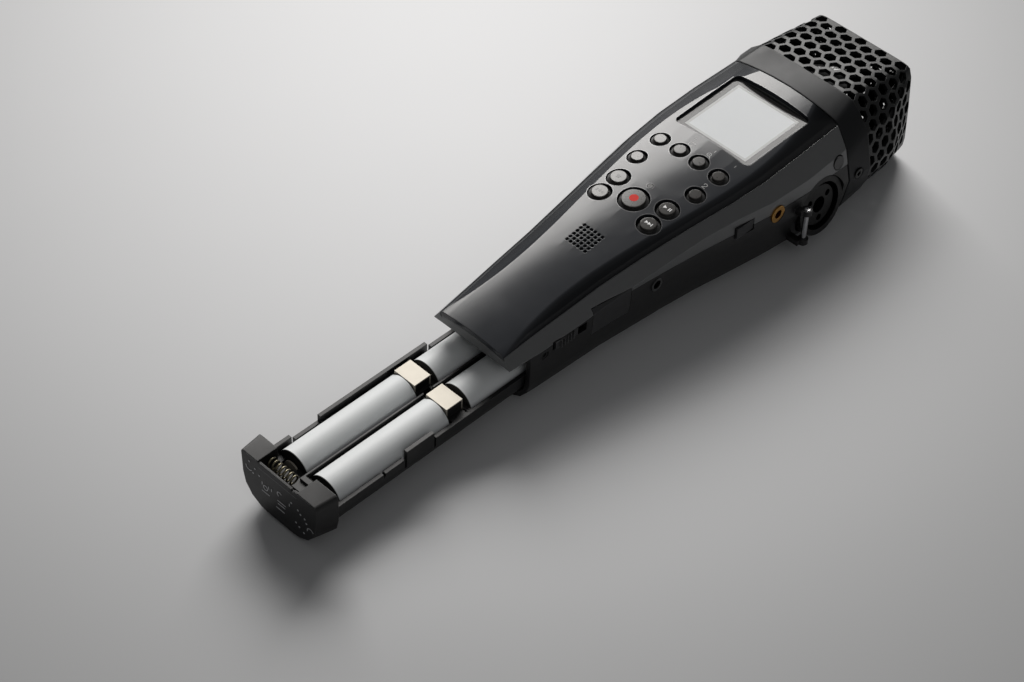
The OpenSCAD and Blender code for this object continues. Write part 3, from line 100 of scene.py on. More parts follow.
# finishes
class Reading:
    """A node's output inside a finish. Python operators on it add Math nodes."""

    def __init__(self, finish, socket):
        self.finish, self.socket = finish, socket

    def maths(self, operation, *values, clamp=False):
        return self.finish.node(
            "ShaderNodeMath", {"operation": operation, "use_clamp": clamp}, dict(enumerate(values)))

    def __add__(self, other):
        return self.maths("ADD", self, other)

    __radd__ = __add__

    def __sub__(self, other):
        return self.maths("SUBTRACT", self, other)

    def __rsub__(self, other):
        return self.maths("SUBTRACT", other, self)

    def __mul__(self, other):
        return self.maths("MULTIPLY", self, other)

    __rmul__ = __mul__

    def __truediv__(self, other):
        return self.maths("DIVIDE", self, other)

    def __abs__(self):
        return self.maths("ABSOLUTE", self)

    def above(self, edge, blur):
        """0 below edge, 1 above it, with a soft step blur wide."""
        return self.maths("ADD", (self - edge) / blur, 0.5, clamp=True)

    def most(self, other):
        return self.maths("MAXIMUM", self, other)

    def least(self, other):
        return self.maths("MINIMUM", self, other)


class Finish:
    """A material of the recorder: a Principled shader and the nodes that feed it."""

    def __init__(self, name, **fixed):
        self.material = bpy.data.materials.new(name)
        self.material.use_nodes = True
        self.tree = self.material.node_tree
        self.tree.nodes.clear()
        self.shader = self.tree.nodes.new("ShaderNodeBsdfPrincipled")
        output = self.tree.nodes.new("ShaderNodeOutputMaterial")
        self.tree.links.new(self.shader.outputs[0], output.inputs["Surface"])
        for key, value in fixed.items():
            self.feed(key, value)
        self.place = self.node("ShaderNodeTexCoord", output="Object")

    def join(self, value, socket):
        if isinstance(value, Reading):
            self.tree.links.new(value.socket, socket)
        else:
            socket.default_value = value

    def feed(self, socket, value):
        self.join(value, self.shader.inputs[socket.replace("_", " ")])

    def node(self, kind, settings=None, values=None, output=0):
        made = self.tree.nodes.new(kind)
        for key, value in (settings or {}).items():
            setattr(made, key, value)
        for key, value in (values or {}).items():
            self.join(value, made.inputs[key])
        return Reading(self, made.outputs[output])

    def bell(self, squared):
        """1 at the middle, falling as e to the power of less the squared distance."""
        return self.node("ShaderNodeMath", {"operation": "EXPONENT"}, {0: 0.0 - squared})

    def noise(self, size, detail=2.0):
        """Noise whose blobs are about size millimetres across."""
        return self.node("ShaderNodeTexNoise", {}, {
            "Vector": self.place, "Scale": 1.0 / (size * MM), "Detail": detail})

    def axis(self, which):
        """X, Y or Z of the place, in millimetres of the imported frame."""
        return self.node("ShaderNodeSeparateXYZ", {}, {"Vector": self.place}, which) / MM

    def blend(self, factor, low, high):
        return self.node("ShaderNodeMix", {"data_type": "RGBA"}, {0: factor, 6: low, 7: high}, 2)

    def tinted(self, colour, spread, size):
        """The colour, lighter and darker by spread in blobs of the given size."""
        return self.blend(self.noise(size, 4.0), scaled(colour, 1 - spread),
                          scaled(colour, 1 + spread))

    def edge_highlight_and_rub(self, rounded, colour, highlight_and_rub_colour, amount):
        """The colour, going towards a lighter colour at edges, where the rounded normal leaves the
        face: a painted highlight along the edges that also stands for light wear.
        """
        face = self.node("ShaderNodeNewGeometry", output="Normal")
        apart = 1 - self.node("ShaderNodeVectorMath", {"operation": "DOT_PRODUCT"},
                              {0: rounded, 1: face}, "Value")
        return self.blend((apart * amount).least(1.0), colour, highlight_and_rub_colour)

    def rounded(self, radius):
        """Normal that rounds the edges with the given radius in millimetres."""
        return self.node("ShaderNodeBevel", {"samples": 6}, {"Radius": radius * MM})

    def bumps(self, height, depth, normal):
        """Raises the surface by height times depth in millimetres."""
        self.feed("Normal", self.node("ShaderNodeBump", {}, {
            "Strength": 1.0, "Distance": depth * MM, "Height": height, "Normal": normal}))


def scaled(colour, by):
    return tuple(min(c * by, 1.0) for c in colour[:3]) + (1.0,)


ROUGH_SPREAD = 0.08     # how far the roughness varies, in blobs and again in the grain
HIGHLIGHT_AND_RUB_LIGHTER = 1.9      # the edges' lighter colour, a painted highlight that also stands for light wear, as a share of the finish's own


def satin(name, colour, metallic=0.0, rough=0.4, grain=0.12, depth=0.004, edge=0.25, highlight_and_rub_colour=None,
          highlight_and_rub_amount=1.2, mottle=0.06, blobs=9.0, **fixed):
    """A finish with rounded edges, fine grain, slow mottling and edges painted lighter, as a
    highlight that also stands for light wear. grain, depth, edge and blobs are in millimetres."""
    made = Finish(name, Metallic=metallic, **fixed)
    rounded = made.rounded(edge)
    fine = made.noise(grain, 3.0)
    made.feed("Base Color", made.edge_highlight_and_rub(rounded, made.tinted(colour, mottle, blobs),
                                      highlight_and_rub_colour or scaled(colour, HIGHLIGHT_AND_RUB_LIGHTER), highlight_and_rub_amount))
    made.feed("Roughness", rough + (made.noise(blobs / 3, 3.0) - 0.5) * ROUGH_SPREAD
              + (fine - 0.5) * ROUGH_SPREAD)
    made.bumps(fine, depth, rounded)
    return made


# pieces
def piece(name, points, faces, finish, body, stands_for=(), sharp=30.0, several=None):
    """A mesh of points in metres, smooth between edges sharper than sharp degrees."""
    mesh = bpy.data.meshes.new(name)
    mesh.from_pydata(np.asarray(points, float), [], np.asarray(faces).tolist()
                     if isinstance(faces, np.ndarray) else faces)
    finishes = finish if isinstance(finish, (list, tuple)) else [finish]
    for f in finishes:
        mesh.materials.append(f.material)
    if several is not None:
        mesh.polygons.foreach_set("material_index", np.asarray(several, np.int32))
    mesh.shade_smooth()
    mesh.set_sharp_from_angle(angle=math.radians(sharp))
    mesh.update()
    made = bpy.data.objects.new(name, mesh)
    bpy.context.scene.collection.objects.link(made)
    if stands_for:
        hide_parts(*stands_for)
    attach(made, body)
    return made


def joined(node):
    """Points and triangles of a solid, with the points of its loose triangles merged."""
    mesh = frame["nodes"][node].data
    points = np.empty(len(mesh.vertices) * 3)
    mesh.vertices.foreach_get("co", points)
    corners = np.empty(len(mesh.loops), np.int32)
    mesh.loops.foreach_get("vertex_index", corners)
    kept, back = np.unique(np.round(points.reshape(-1, 3), 7), axis=0, return_inverse=True)
    faces = back.reshape(-1)[corners].reshape(-1, 3)
    whole = (faces != np.roll(faces, 1, axis=1)).all(1)
    return kept, faces[whole]


def dressed(node, finish, slot, sharp=30.0, parts=None):
    """A merged copy of a solid, smooth across shallow edges, that stands for it."""
    points, faces = joined(node)
    several = parts(points[faces].mean(1)) if parts else None
    made = piece(node + "_skin", points, faces, finish, BODY_OF[node], (node,), sharp,
                 several)
    weighted = made.modifiers.new("faces", "WEIGHTED_NORMAL")
    weighted.keep_sharp = True
    weighted.weight = 60
    return made


def coloured(node, finish):
    """A solid whose shape is right keeps it and takes a finish."""
    mesh = frame["nodes"][node].data
    mesh.materials.clear()
    mesh.materials.append(finish.material)


def grid_faces(rows, columns, closed=False):
    """Four-cornered faces of a grid of rows by columns points. Where closed, the last column
    joins the first."""
    r, c = np.meshgrid(np.arange(rows - 1), np.arange(columns if closed else columns - 1),
                       indexing="ij")
    here, beside = r * columns + c, r * columns + (c + 1) % columns
    return np.stack([here, beside, beside + columns, here + columns], -1).reshape(-1, 4)


# the finishes themselves
def edge_curve(node):
    """Half width of a solid along y, in millimetres: a cubic fitted to its widest points near
    every fifth millimetre."""
    step, near = 5.0, 4.0
    points = joined(node)[0] / MM
    slices = np.arange(points[:, 1].min() + step / 2, points[:, 1].max() - step / 2, step)
    widest = [np.abs(points[np.abs(points[:, 1] - y) < near, 0]).max(initial=0.0) for y in slices]
    return [float(c) for c in np.polyfit(slices, widest, 3)]


ROLL_WIDTH = 0.8        # outer strip of the panel that rolls down to the side
ROLL_SHARE = 3.5        # way past the roll's start, squared, over the drop


def panel_finish():
    """Black satin of the arched panel. In its outer strip the surface rolls down to the side:
    the bump's height falls with the square of the way past the roll's start."""
    made = Finish("panel_satin", Specular_IOR_Level=0.37)
    narrow = made.rounded(0.35)
    y = made.axis("Y")
    third, second, first, whole = edge_curve("front_panel")
    half = ((y * third + second) * y + first) * y + whole
    past = (abs(made.axis("X")) - half + ROLL_WIDTH).most(0.0)
    fine = made.noise(0.1, 3.0)
    # The lighter edge colour paints a highlight along the panel's edges and holes, which also
    # stands for light wear.
    made.feed("Base Color", made.edge_highlight_and_rub(narrow, made.tinted(shade(50, 52, 56), 0.1, 9.0),
                                      shade(96, 96, 98), 0.4))
    made.feed("Roughness", 0.22 + (made.noise(14.0, 2.0) - 0.5) * 0.12 + (fine - 0.5) * 0.04)
    made.bumps(fine * 0.0012 - past * past / ROLL_SHARE, 1.0, narrow)
    return made


panel_satin = panel_finish()
# The lighter edge colours and their amounts paint a highlight along each part's edges, which also
# stands for light wear.
band_satin = satin("band_satin", shade(112, 113, 114), metallic=0.4, rough=0.38, grain=0.16,
                   depth=0.003, edge=0.5, highlight_and_rub_colour=shade(112, 113, 114), highlight_and_rub_amount=0.1)
shell_matt = satin("shell_matt", shade(22, 22, 23), rough=0.46, grain=0.25, depth=0.008, edge=0.4,
                   highlight_and_rub_colour=shade(66), highlight_and_rub_amount=0.7)
collar_satin = satin("collar_satin", shade(34, 35, 37), metallic=0.1, rough=0.42, grain=0.18,
                     depth=0.004, edge=0.8, highlight_and_rub_colour=shade(50), highlight_and_rub_amount=0.3, Specular_IOR_Level=0.25)
grille_satin = satin("grille_satin", shade(34, 35, 36), metallic=0.15, rough=0.4, grain=0.14,
                     depth=0.005, edge=0.3, highlight_and_rub_colour=shade(60), highlight_and_rub_amount=0.4, Specular_IOR_Level=0.28)
inner_black = satin("inner_black", shade(16), rough=0.6, edge=0.2)
jack_black = satin("jack_black", shade(7), rough=0.4, edge=0.2, highlight_and_rub_colour=shade(60),
                   Specular_IOR_Level=0.3)
tray_matt = satin("tray_matt", shade(21, 21, 22), rough=0.5, grain=0.3, depth=0.012, edge=0.3,
                  highlight_and_rub_colour=shade(78))
cap_satin = satin("cap_satin", shade(24, 24, 25), rough=0.4, grain=0.28, depth=0.014, edge=0.4,
                  highlight_and_rub_colour=shade(130), highlight_and_rub_amount=1.0, Specular_IOR_Level=0.25)
# Light grey: the raised pattern painted with the glint of light on its edges.
raised_glint_grey = satin("raised_glint_grey", shade(176, 177, 180), rough=0.35, edge=0.03, mottle=0.35,
                   blobs=0.8)
# Grey thin lines: a painted highlight along the cap's front edges.
cap_lip_highlight = satin("cap_lip_highlight", shade(104, 105, 107), rough=0.35, edge=0.03, mottle=0.1)
door_satin = satin("door_satin", shade(44, 44, 46), rough=0.36, edge=0.3, highlight_and_rub_colour=shade(120), highlight_and_rub_amount=1.6)
# Near black: painted shade of the recess between a key's cap and the edge of its hole.
skirt_shade_black = satin("skirt_shade_black", shade(8), rough=0.35, edge=0.15)


def cap_finish(name, colour):
    """Satin cap of a key. Its normal follows the panel's arch: the height that the bump
    reads is less x squared over twice the arch's radius."""
    made = Finish(name, Specular_IOR_Level=0.45)
    rounded = made.rounded(0.35)
    # The lighter edge colour paints a highlight along the cap's edges, which also stands for light
    # wear.
    made.feed("Base Color", made.edge_highlight_and_rub(rounded, made.tinted(colour, 0.08, 2.0), shade(120), 0.5))
    made.feed("Roughness", 0.25 + made.noise(1.5, 3.0) * 0.06)
    across = made.axis("X")
    made.bumps(made.noise(0.12, 3.0) * 0.002 - across * across / (2 * PANEL_ARCH_R), 1.0, rounded)
    return made


key_cap = cap_finish("key_cap", shade(60, 58, 56))
record_cap = cap_finish("record_cap", shade(64, 62, 60))
lamp_clear = satin("lamp_clear", shade(9), rough=0.25, edge=0.15)
board_green = satin("board_green", shade(22, 66, 40), rough=0.35, edge=0.1, Coat_Weight=0.6)
contact_nickel = satin("contact_nickel", shade(196, 190, 178), metallic=0.3, rough=0.5, edge=0.12,
                       grain=0.3, depth=0.003)
gold_ring = satin("gold_ring", shade(226, 168, 88), metallic=1.0, rough=0.2, edge=0.15)
insert_brass = satin("insert_brass", shade(196, 160, 92), metallic=1.0, rough=0.3, edge=0.15)
# Light grey rings and lines on the panel round its holes and window: a painted highlight of their
# edges.
painted_rim_highlight = satin("painted_rim_highlight", shade(92, 92, 94), metallic=0.2, rough=0.25, edge=0.03, mottle=0.03)
jack_nickel = satin("jack_nickel", shade(110), metallic=1.0, rough=0.28, edge=0.15)
pin_steel = satin("pin_steel", shade(206, 206, 208), metallic=1.0, rough=0.16, edge=0.15)
screw_steel = satin("screw_steel", shade(52), metallic=0.9, rough=0.34, edge=0.12)
wheel_rubber = satin("wheel_rubber", shade(20), rough=0.62, edge=0.2)
mark_white = satin("mark_white", shade(226), rough=0.45, edge=0.02, mottle=0.02)
mark_red = satin("mark_red", shade(214, 30, 14), rough=0.5, edge=0.02, mottle=0.03,
                 Specular_IOR_Level=0.12)
mark_grey = satin("mark_grey", shade(150), rough=0.45, edge=0.02, mottle=0.02)


def shade_sheet_finish():
    """Black sheet, painted shade inside the grille, with small gaps where slow noise is low and a
    bump of fine threads.
    """
    made = Finish("shade_sheet_black", Specular_IOR_Level=0.1)
    thread = made.noise(0.5, 3.0)
    made.feed("Base Color", made.tinted(shade(10), 0.2, 2.0))
    made.feed("Roughness", 0.8 + thread * 0.1)
    made.feed("Alpha", made.noise(2.6, 1.0).above(0.385, 0.02))
    made.bumps(thread, 0.08, made.rounded(0.05))
    return made


def sleeve_finish():
    """White satin sleeve of a cell, dark over a thin strip at its two ends."""
    dark_strip = 0.3
    made = Finish("cell_sleeve", Specular_IOR_Level=0.35)
    rounded = made.rounded(0.5)
    y = made.axis("Y")
    ends = None
    for start in CELL_STARTS:
        middle = start - TRAY_OUT - MID_Y + CELL_LEN / 2
        near = abs(y - middle).above(CELL_LEN / 2 - dark_strip, 0.2)
        ends = near if ends is None else ends.least(near)
    white = made.tinted(shade(232, 235, 236), 0.03, 14.0)
    made.feed("Base Color", made.blend(ends, white, shade(34)))
    made.feed("Roughness", 0.45 + made.noise(6.0) * 0.08 + ends * 0.1)
    made.bumps(made.noise(0.4, 3.0), 0.003, rounded)
    return made


def lens_finish():
    """Glossy window: black surround, grey border, a thin pale line, and the pale display. reach
    is how far a place lies outside the border's inner edge."""
    border_half, surround_half, dot = (14.7, 14.9), (17.5, 17.4), 0.3
    made = Finish("lens_window", Specular_IOR_Level=0.2)
    x, y = abs(made.axis("X")), abs(made.axis("Y") - (WINDOW_Y - MID_Y))
    reach = (x - border_half[0]).most(y - border_half[1])
    dots = made.node("ShaderNodeTexChecker", {}, {"Vector": made.place, "Scale": 1 / (dot * MM)},
                     "Fac")
    glass = made.tinted(shade(186, 190, 193), 0.02, 20.0)
    pale = made.blend(dots * 0.04, glass, shade(120, 122, 122))
    margin = made.blend(reach.above(-1.1, 0.1), pale, shade(160, 162, 162))
    grey = made.tinted(shade(66, 66, 66), 0.04, 12.0)
    border = made.blend(reach.above(2.0, 0.2), grey, shade(92))
    rim = (x - surround_half[0]).most(y - surround_half[1]).above(0.0, 0.08)
    window = made.blend(reach.above(0.0, 0.1), margin, border)
    made.feed("Base Color", made.blend(rim, window, shade(6)))
    made.feed("Roughness", 0.1 + made.noise(3.0) * 0.04 + rim * 0.6)
    made.bumps(made.noise(0.6), 0.0006, made.rounded(0.25))
    return made


shade_sheet_black = shade_sheet_finish()
cell_sleeve = sleeve_finish()
lens_window = lens_finish()

# shells and head
set_camera()
dressed("front_panel", panel_satin, "panel", sharp=24)
dressed("upper_housing", band_satin, "housing_metal", sharp=18)
dressed("lower_shell", shell_matt, "lower_metal", sharp=27)
dressed("head_collar", collar_satin, "collar_metal", sharp=50)
dressed("mic_cage", grille_satin, "grille_metal", sharp=32)
dressed("mic_bracket", inner_black, "black_plastic")
dressed("card_door", door_satin, "door_plastic", sharp=24)
dressed("tray_cap", cap_satin, "cap_plastic", sharp=34)
dressed("tray_frame", tray_matt, "tray_plastic")
dressed("display_lens", lens_window, "lens")
for finish, nodes in (
        (inner_black, ("display_panel", "speaker", "battery_bay", "bay_end", "wheel_post")),
        (board_green, ("key_board", "main_board", "input_board")),
        (lamp_clear, ("status_lamp",)),
        (contact_nickel, ("bay_contacts", "cell_contacts")),
        (jack_black, ("combo_jack_right", "combo_jack_left")),
        (gold_ring, ("mic_line_jack",)),
        (jack_nickel, ("mic_capsule_right", "mic_capsule_left", "timecode_jack", "phones_jack",
                       "usb_port", "card_socket", "switch_base")),
        (pin_steel, ("strap_pin_right", "strap_pin_left")),
        (insert_brass, ("tripod_insert",)),
        (screw_steel, ("back_screws", "collar_screws")),
        (wheel_rubber, ("side_plug", "volume_wheel")),
        (cell_sleeve, ("cell_outer_right", "cell_outer_left", "cell_inner_right",
                       "cell_inner_left")),
        (tray_matt, ("tray_latch",)),
        (door_satin, ("menu_button", "power_knob", "jack_tab_right", "jack_tab_left"))):
    for node in nodes:
        coloured(node, finish)

# keys
SMALL_HOLE_R, TRANSPORT_HOLE_R, RECORD_HOLE_R = 3.9, 4.6, 6.0
CAP_INSET = 1.35        # from a key's hole to the edge of its cap
KEY_TILT = math.radians(5.5)
KEYS = {
    "display_key_1": (-14.1, 109.5, SMALL_HOLE_R), "display_key_2": (-4.6, 109.5, SMALL_HOLE_R),
    "display_key_3": (4.6, 109.5, SMALL_HOLE_R), "display_key_4": (14.1, 109.5, SMALL_HOLE_R),
    "middle_key_left": (-14.1, 97.2, SMALL_HOLE_R), "middle_key_right": (14.1, 97.2, SMALL_HOLE_R),
    "transport_key_1": (-11.8, 85.0, TRANSPORT_HOLE_R),
    "transport_key_2": (-11.8, 75.3, TRANSPORT_HOLE_R),
    "transport_key_3": (11.8, 85.0, TRANSPORT_HOLE_R),
    "transport_key_4": (11.8, 75.3, TRANSPORT_HOLE_R),
    "record_key": (0.0, 80.2, RECORD_HOLE_R),
}


def key_split(x, y, hole_r):
    """Skirt or cap: a face belongs to the cap where it is nearer the axis than its rim."""
    middle = placed((x, y, 0.0))

    def parts(centres):
        along = (centres[:, 1] - middle[1]) / math.cos(KEY_TILT)
        away = np.hypot(centres[:, 0] - middle[0], along)
        return np.where(away < (hole_r - CAP_INSET) * MM, 1, 0)

    return parts


def key_slot(node):
    return "record_plastic" if node == "record_key" else "key_plastic"


for node, (x, y, hole_r) in KEYS.items():
    cap = record_cap if node == "record_key" else key_cap
    dressed(node, [skirt_shade_black, cap], key_slot(node), sharp=32, parts=key_split(x, y, hole_r))


# marks on the surfaces
class Ground:
    """A solid's surface as seen along a direction, for marks that lie on it."""

    def __init__(self, node, towards, drawn=0.0):
        points, faces = joined(node)
        self.tree = BVHTree.FromPolygons(points.tolist(), faces.tolist())
        self.towards, self.drawn = Vector(towards), drawn

    def lay(self, points, lift):
        """Each point follows the direction to the solid, then goes back by lift millimetres."""
        laid = []
        for point in placed(points, self.drawn):
            hit = self.tree.ray_cast(Vector(point) - self.towards * 0.1, self.towards)[0]
            laid.append((hit or Vector(point)) - self.towards * lift * MM)
        return np.array(laid)


def ribbon(line, width):
    """Flat band along a line in the plane: its points moved to both sides by half the width."""
    line = np.asarray(line, float)
    along = np.gradient(line, axis=0)
    along /= np.linalg.norm(along, axis=1, keepdims=True)
    side = np.stack([-along[:, 1], along[:, 0]], 1) * width / 2
    return np.stack([line + side, line - side], 1).reshape(-1, 2), grid_faces(len(line), 2).tolist()


def bar(u, v, u2, v2, width):
    """Straight stroke from one place to the other in ten steps."""
    t = np.linspace(0, 1, 11)[:, None]
    return ribbon(np.array([[u, v]]) * (1 - t) + np.array([[u2, v2]]) * t, width)


def arc(u, v, radius, start, end, width):
    """Stroke along part of a circle, with the angles in degrees."""
    a = np.radians(np.linspace(start, end, 33))
    return ribbon(np.stack([u + radius * np.cos(a), v + radius * np.sin(a)], 1), width)


def disc(u, v, radius):
    """Filled circle: a middle point and a round of twenty-four."""
    a = np.linspace(0, 2 * np.pi, 24, endpoint=False)
    rim = np.stack([u + radius * np.cos(a), v + radius * np.sin(a)], 1)
    return np.vstack([[u, v], rim]), [[0, 1 + i, 1 + (i + 1) % 24] for i in range(24)]


def arrow(u, v, length, height):
    """Filled triangle that points along u, or against it for a length below zero."""
    return np.array([[u, v - height / 2], [u, v + height / 2], [u + length, v]]), [[0, 1, 2]]


def marks(name, shapes, finish, ground, plane, body, slot, lift=0.03):
    """One piece made of flat shapes laid on a surface. plane turns (u, v) into (x, y, z)."""
    points, faces, first = [], [], 0
    for flat, corners in shapes:
        points.append(np.array([plane(u, v) for u, v in flat]))
        faces += [[first + c for c in face] for face in corners]
        first += len(flat)
    return piece(name, ground.lay(np.vstack(points), lift), faces, finish, body)


def from_above(u, v):
    return u, v, 20.0


def from_front(u, v):
    return u, 5.0, v


LAMP_Y = 88.8
LAMP_RIM_R = 1.42
RIM_X, RIM_Y, RIM_STRAIGHT = 18.1, 18.0, 15.8  # half sizes of the painted highlight line round the window
panel = Ground("front_panel", (0, 0, -1))
housing = BODY_OF["front_panel"]
# painted highlights round the key holes, the lamp and the window
marks("hole_rim_highlights", [arc(x, y, r + 0.16, 0, 360, 0.26) for x, y, r in KEYS.values()]
      + [arc(0.0, LAMP_Y, LAMP_RIM_R, 0, 360, 0.24)],
      painted_rim_highlight, panel, from_above, housing, "panel", 0.02)
marks("window_edge_highlight",
      [bar(s * RIM_X, WINDOW_Y - RIM_STRAIGHT, s * RIM_X, WINDOW_Y + RIM_STRAIGHT, 0.22)
       for s in (-1, 1)]
      + [bar(-RIM_STRAIGHT, WINDOW_Y + s * RIM_Y, RIM_STRAIGHT, WINDOW_Y + s * RIM_Y, 0.22)
         for s in (-1, 1)],
      painted_rim_highlight, panel, from_above, housing, "panel", 0.02)
number_two = [arc(13.6, 103.2, 0.62, 200, -50, 0.3), bar(14.0, 102.7, 13.0, 101.8, 0.3),
              bar(12.9, 101.7, 14.4, 101.7, 0.3)]
loop = [arc(-3.7, 114.6, 1.0, 60, 330, 0.28), arrow(-2.95, 115.4, 0.9, 0.9)]
magnifier = [arc(4.6, 115.0, 0.8, 0, 360, 0.28), bar(5.2, 114.4, 6.0, 113.6, 0.28),
             bar(4.2, 115.0, 5.0, 115.0, 0.2)]
ticks = [bar(x, 117.0, x, 118.2, 0.22) for x in (-4.4, 5.2, 14.9)]
marks("panel_marks", number_two + loop + magnifier + ticks,
      mark_grey, panel, from_above, housing, "panel")


def key_marks(node, shapes, finish):
    marks(node + "_marks", shapes, finish, Ground(node, (0, 0, -1)), from_above, BODY_OF[node],
          key_slot(node))


def pause_mark(x, y):
    """An arrow along x, then two bars across it."""
    return [arrow(x - 1.6, y, 1.4, 1.5)] + [
        bar(x + away, y - 0.7, x + away, y + 0.7, 0.36) for away in (0.8, 1.5)]


def skip_mark(x, y, way):
    """Two arrows and a bar: along x where way is 1, against it where way is -1."""
    return [arrow(x - way * 1.5, y, way * 1.3, 1.4), arrow(x - way * 0.2, y, way * 1.3, 1.4),
            bar(x + way * 1.4, y - 0.7, x + way * 1.4, y + 0.7, 0.34)]


def stop_mark(x, y):
    """A square."""
    return [bar(x - 0.7, y, x + 0.7, y, 1.4)]


def record_mark(x, y):
    """A dot just above the key's middle."""
    return [disc(x, y + 0.1, 1.7)]


def key_place(node):
    return KEYS[node][:2]


key_marks("transport_key_3", pause_mark(*key_place("transport_key_3")), mark_white)
key_marks("transport_key_4", skip_mark(*key_place("transport_key_4"), 1), mark_white)
key_marks("transport_key_1", stop_mark(*key_place("transport_key_1")), mark_grey)
key_marks("transport_key_2", skip_mark(*key_place("transport_key_2"), -1), mark_grey)
key_marks("record_key", record_mark(*key_place("record_key")), mark_red)

# raised pattern on the tray cap's front, painted light grey as a glint
front = Ground("tray_cap", (0, 1, 0), TRAY_OUT)
pattern = [arc(-14.6, 5.8, 1.5, 170, 330, 0.4), arc(15.2, -2.4, 1.5, 200, 20, 0.4),
           bar(-0.8, 0.4, 3.4, 0.4, 0.5), bar(-0.6, -1.0, 3.0, -1.0, 0.5),
           bar(-1.6, -3.4, 2.6, -3.4, 0.5), arc(-6.6, 1.6, 1.0, 0, 360, 0.4),
           arc(0.4, 4.0, 1.1, 30, 250, 0.4), bar(-8.6, -0.8, -4.6, -0.8, 0.4)]
pattern += [disc(u, v, 0.42) for u, v in (
    (-11.6, 7.0), (-12.6, 4.2), (-9.6, 5.2), (9.4, 3.8), (10.6, 2.6), (12.6, 2.0),
    (8.2, -3.2), (9.8, -4.2), (12.0, -5.4), (13.4, 0.4), (-14.4, 8.6), (6.2, 4.8))]
pattern += [bar(u, 2.2, u, 3.6, 0.4) for u in (-8.2, -5.0, -3.6, 5.2)]
marks("cap_pattern", pattern, raised_glint_grey, front, from_front, BODY_OF["tray_cap"],
      "cap_plastic", 0.12)
BLOCK_LINE_Z, RECESS_LINE_Z = 11.5, 8.95
# painted highlight lines along the top front edges of the cap's blocks and its recess
marks("cap_highlight_lines", [bar(-15.6, BLOCK_LINE_Z, -10.5, BLOCK_LINE_Z, 0.2),
                   bar(-10.1, RECESS_LINE_Z, 8.9, RECESS_LINE_Z, 0.2),
                   bar(9.2, BLOCK_LINE_Z, 15.6, BLOCK_LINE_Z, 0.2)],
      cap_lip_highlight, front, from_front, BODY_OF["tray_cap"], "cap_plastic", 0.04)


def cage_shade_sheet():
    """Dark sheet behind the grille, painted shade inside the head: the cage's hull shrunk about its
    middle by the inset, kept on the sides, the underside and the far end. Its top stays open over
    the capsules."""
    inset, top_normal, collar_normal = 2.1, 0.55, -0.5
    points = joined("mic_cage")[0]
    shape = bmesh.new()
    for point in points:
        shape.verts.new(point)
    bmesh.ops.convex_hull(shape, input=shape.verts[:])
    bmesh.ops.delete(shape, geom=[v for v in shape.verts if not v.link_faces], context="VERTS")
    low, high = points.min(0), points.max(0)
    middle, half = (low + high) / 2, (high - low) / 2
    shrink = 1 - inset * MM / half
    places = np.array([v.co for v in shape.verts])
    index = {v: i for i, v in enumerate(shape.verts)}
    kept = [[index[v] for v in f.verts] for f in shape.faces
            if f.normal.z < top_normal and f.normal.y > collar_normal]
    shape.free()
    piece("cage_shade_sheet", middle + (places - middle) * shrink, kept, shade_sheet_black, BODY_OF["mic_cage"],
          (), 40)


cage_shade_sheet()

# latch spring
def wire(line, thickness, sides):
    """Tube along a line: at each point a circle across the line's direction, its first radius
    turned towards the spring's axis so that the tube doesn't twist."""
    along = np.gradient(line, axis=0)
    along /= np.linalg.norm(along, axis=1, keepdims=True)
    out = line * (0.0, 1.0, 1.0)
    out -= along * (out * along).sum(1, keepdims=True)
    out /= np.linalg.norm(out, axis=1, keepdims=True)
    across = np.cross(along, out)
    a = np.linspace(0, 2 * np.pi, sides, endpoint=False)[None, :, None]
    return line[:, None] + thickness / 2 * (np.cos(a) * out[:, None] + np.sin(a) * across[:, None])


def spring():
    """Coil round an axis along X: x runs evenly, y and z go round in a circle seven times,
    with a short straight end along X at each side."""
    start, end, lead, radius, curls = -9.95, 4.15, 0.7, 2.0, 7
    axis_place, thickness, sides = (0.0, 5.2, 8.2), 0.7, 10
    turn = np.linspace(0, 2 * np.pi * curls, curls * 24 + 1)
    x = start + lead + (end - start - 2 * lead) * turn / turn[-1]
    coil = np.stack([x, radius * np.cos(turn), radius * np.sin(turn)], 1)
    line = np.vstack([[start, radius, 0.0], coil, [end, radius, 0.0]])
    rings = wire(line, thickness, sides)
    rows = len(rings)
    ends = [list(range(sides)), list(range((rows - 1) * sides, rows * sides))[::-1]]
    faces = grid_faces(rows, sides, closed=True)[:, ::-1].tolist() + ends
    points = placed(rings.reshape(-1, 3) + axis_place, TRAY_OUT)
    piece("latch_spring_wire", points, faces, spring_wire, BODY_OF["latch_spring"],
          ("latch_spring",), 40)


spring_wire = satin("spring_wire", shade(124, 118, 100), metallic=1.0, rough=0.38, edge=0.1)
spring()


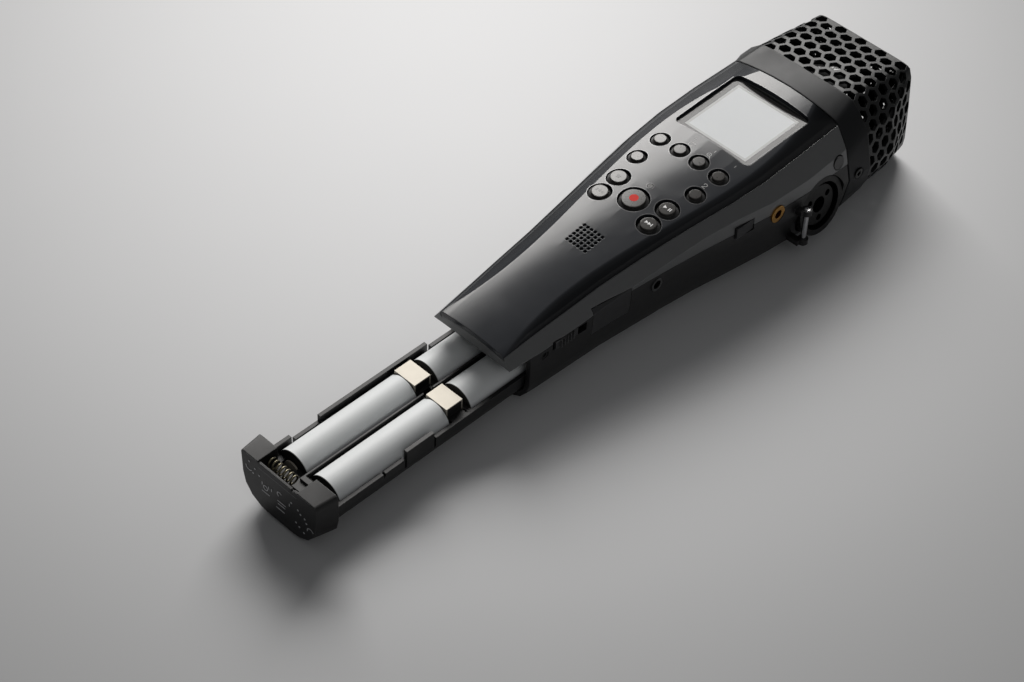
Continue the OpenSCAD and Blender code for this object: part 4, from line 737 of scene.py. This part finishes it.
# floor and light
def floor():
    """Pale plane under the recorder: grey with a turned bell of white, a painted pool of light,
    palest behind its left side. The bell's middle and half widths are in metres."""
    pool_x, pool_y, pool_turn = -0.122, 0.048, 0.842
    half_across, half_along, floor_half = 0.265, 0.34, 2.5
    made = Finish("floor_grey", Roughness=0.6, Specular_IOR_Level=0.2)
    x, y = made.axis("X") * MM - pool_x, made.axis("Y") * MM - pool_y
    across = (x * math.cos(pool_turn) + y * math.sin(pool_turn)) / half_across
    along = (y * math.cos(pool_turn) - x * math.sin(pool_turn)) / half_along
    painted_light_pool = made.bell(across * across + along * along)
    # painted pool of light: the floor's colour is palest in the bell
    made.feed("Base Color", made.blend(painted_light_pool, shade(123, 124, 125), shade(239, 240, 242)))
    made.feed("Roughness", 0.6 + made.noise(40.0) * 0.04)
    points = [(-floor_half, -floor_half, 0), (floor_half, -floor_half, 0),
              (floor_half, floor_half, 0), (-floor_half, floor_half, 0)]
    mesh = bpy.data.meshes.new("floor")
    mesh.from_pydata(points, [], [(0, 1, 2, 3)])
    mesh.materials.append(made.material)
    holder = bpy.data.objects.new("floor", mesh)
    bpy.context.scene.collection.objects.link(holder)


def lamp(name, place, towards, size, watts, colour=(1.0, 1.0, 1.0)):
    """A flat soft lamp at place that faces towards."""
    light = bpy.data.lights.new(name, "AREA")
    light.shape = "RECTANGLE"
    light.size, light.size_y = size
    light.energy = watts
    light.color = colour
    holder = bpy.data.objects.new(name, light)
    bpy.context.scene.collection.objects.link(holder)
    aim = Vector(towards) - Vector(place)
    facing = aim.to_track_quat("-Z", "Y").to_matrix()
    holder.matrix_world = Matrix.Translation(place) @ facing.to_4x4()


floor()
lamp("soft_back_left", (-1.0, 0.95, 0.95), (0.0, 0.05, 0.02), (1.3, 0.8), 34.0, (1.0, 0.98, 0.955))
lamp("soft_right", (1.3, -0.5, 1.3), (0.0, 0.0, 0.0), (0.9, 0.9), 1.2)
ROOM_GREY, ROOM_STRENGTH = 0.5, 0.2
world = bpy.data.worlds.new("room")
bpy.context.scene.world = world
world.use_nodes = True
room = world.node_tree.nodes["Background"]
room.inputs["Color"].default_value = (ROOM_GREY, ROOM_GREY, ROOM_GREY, 1.0)
room.inputs["Strength"].default_value = ROOM_STRENGTH
bpy.context.scene.view_settings.view_transform = "Standard"
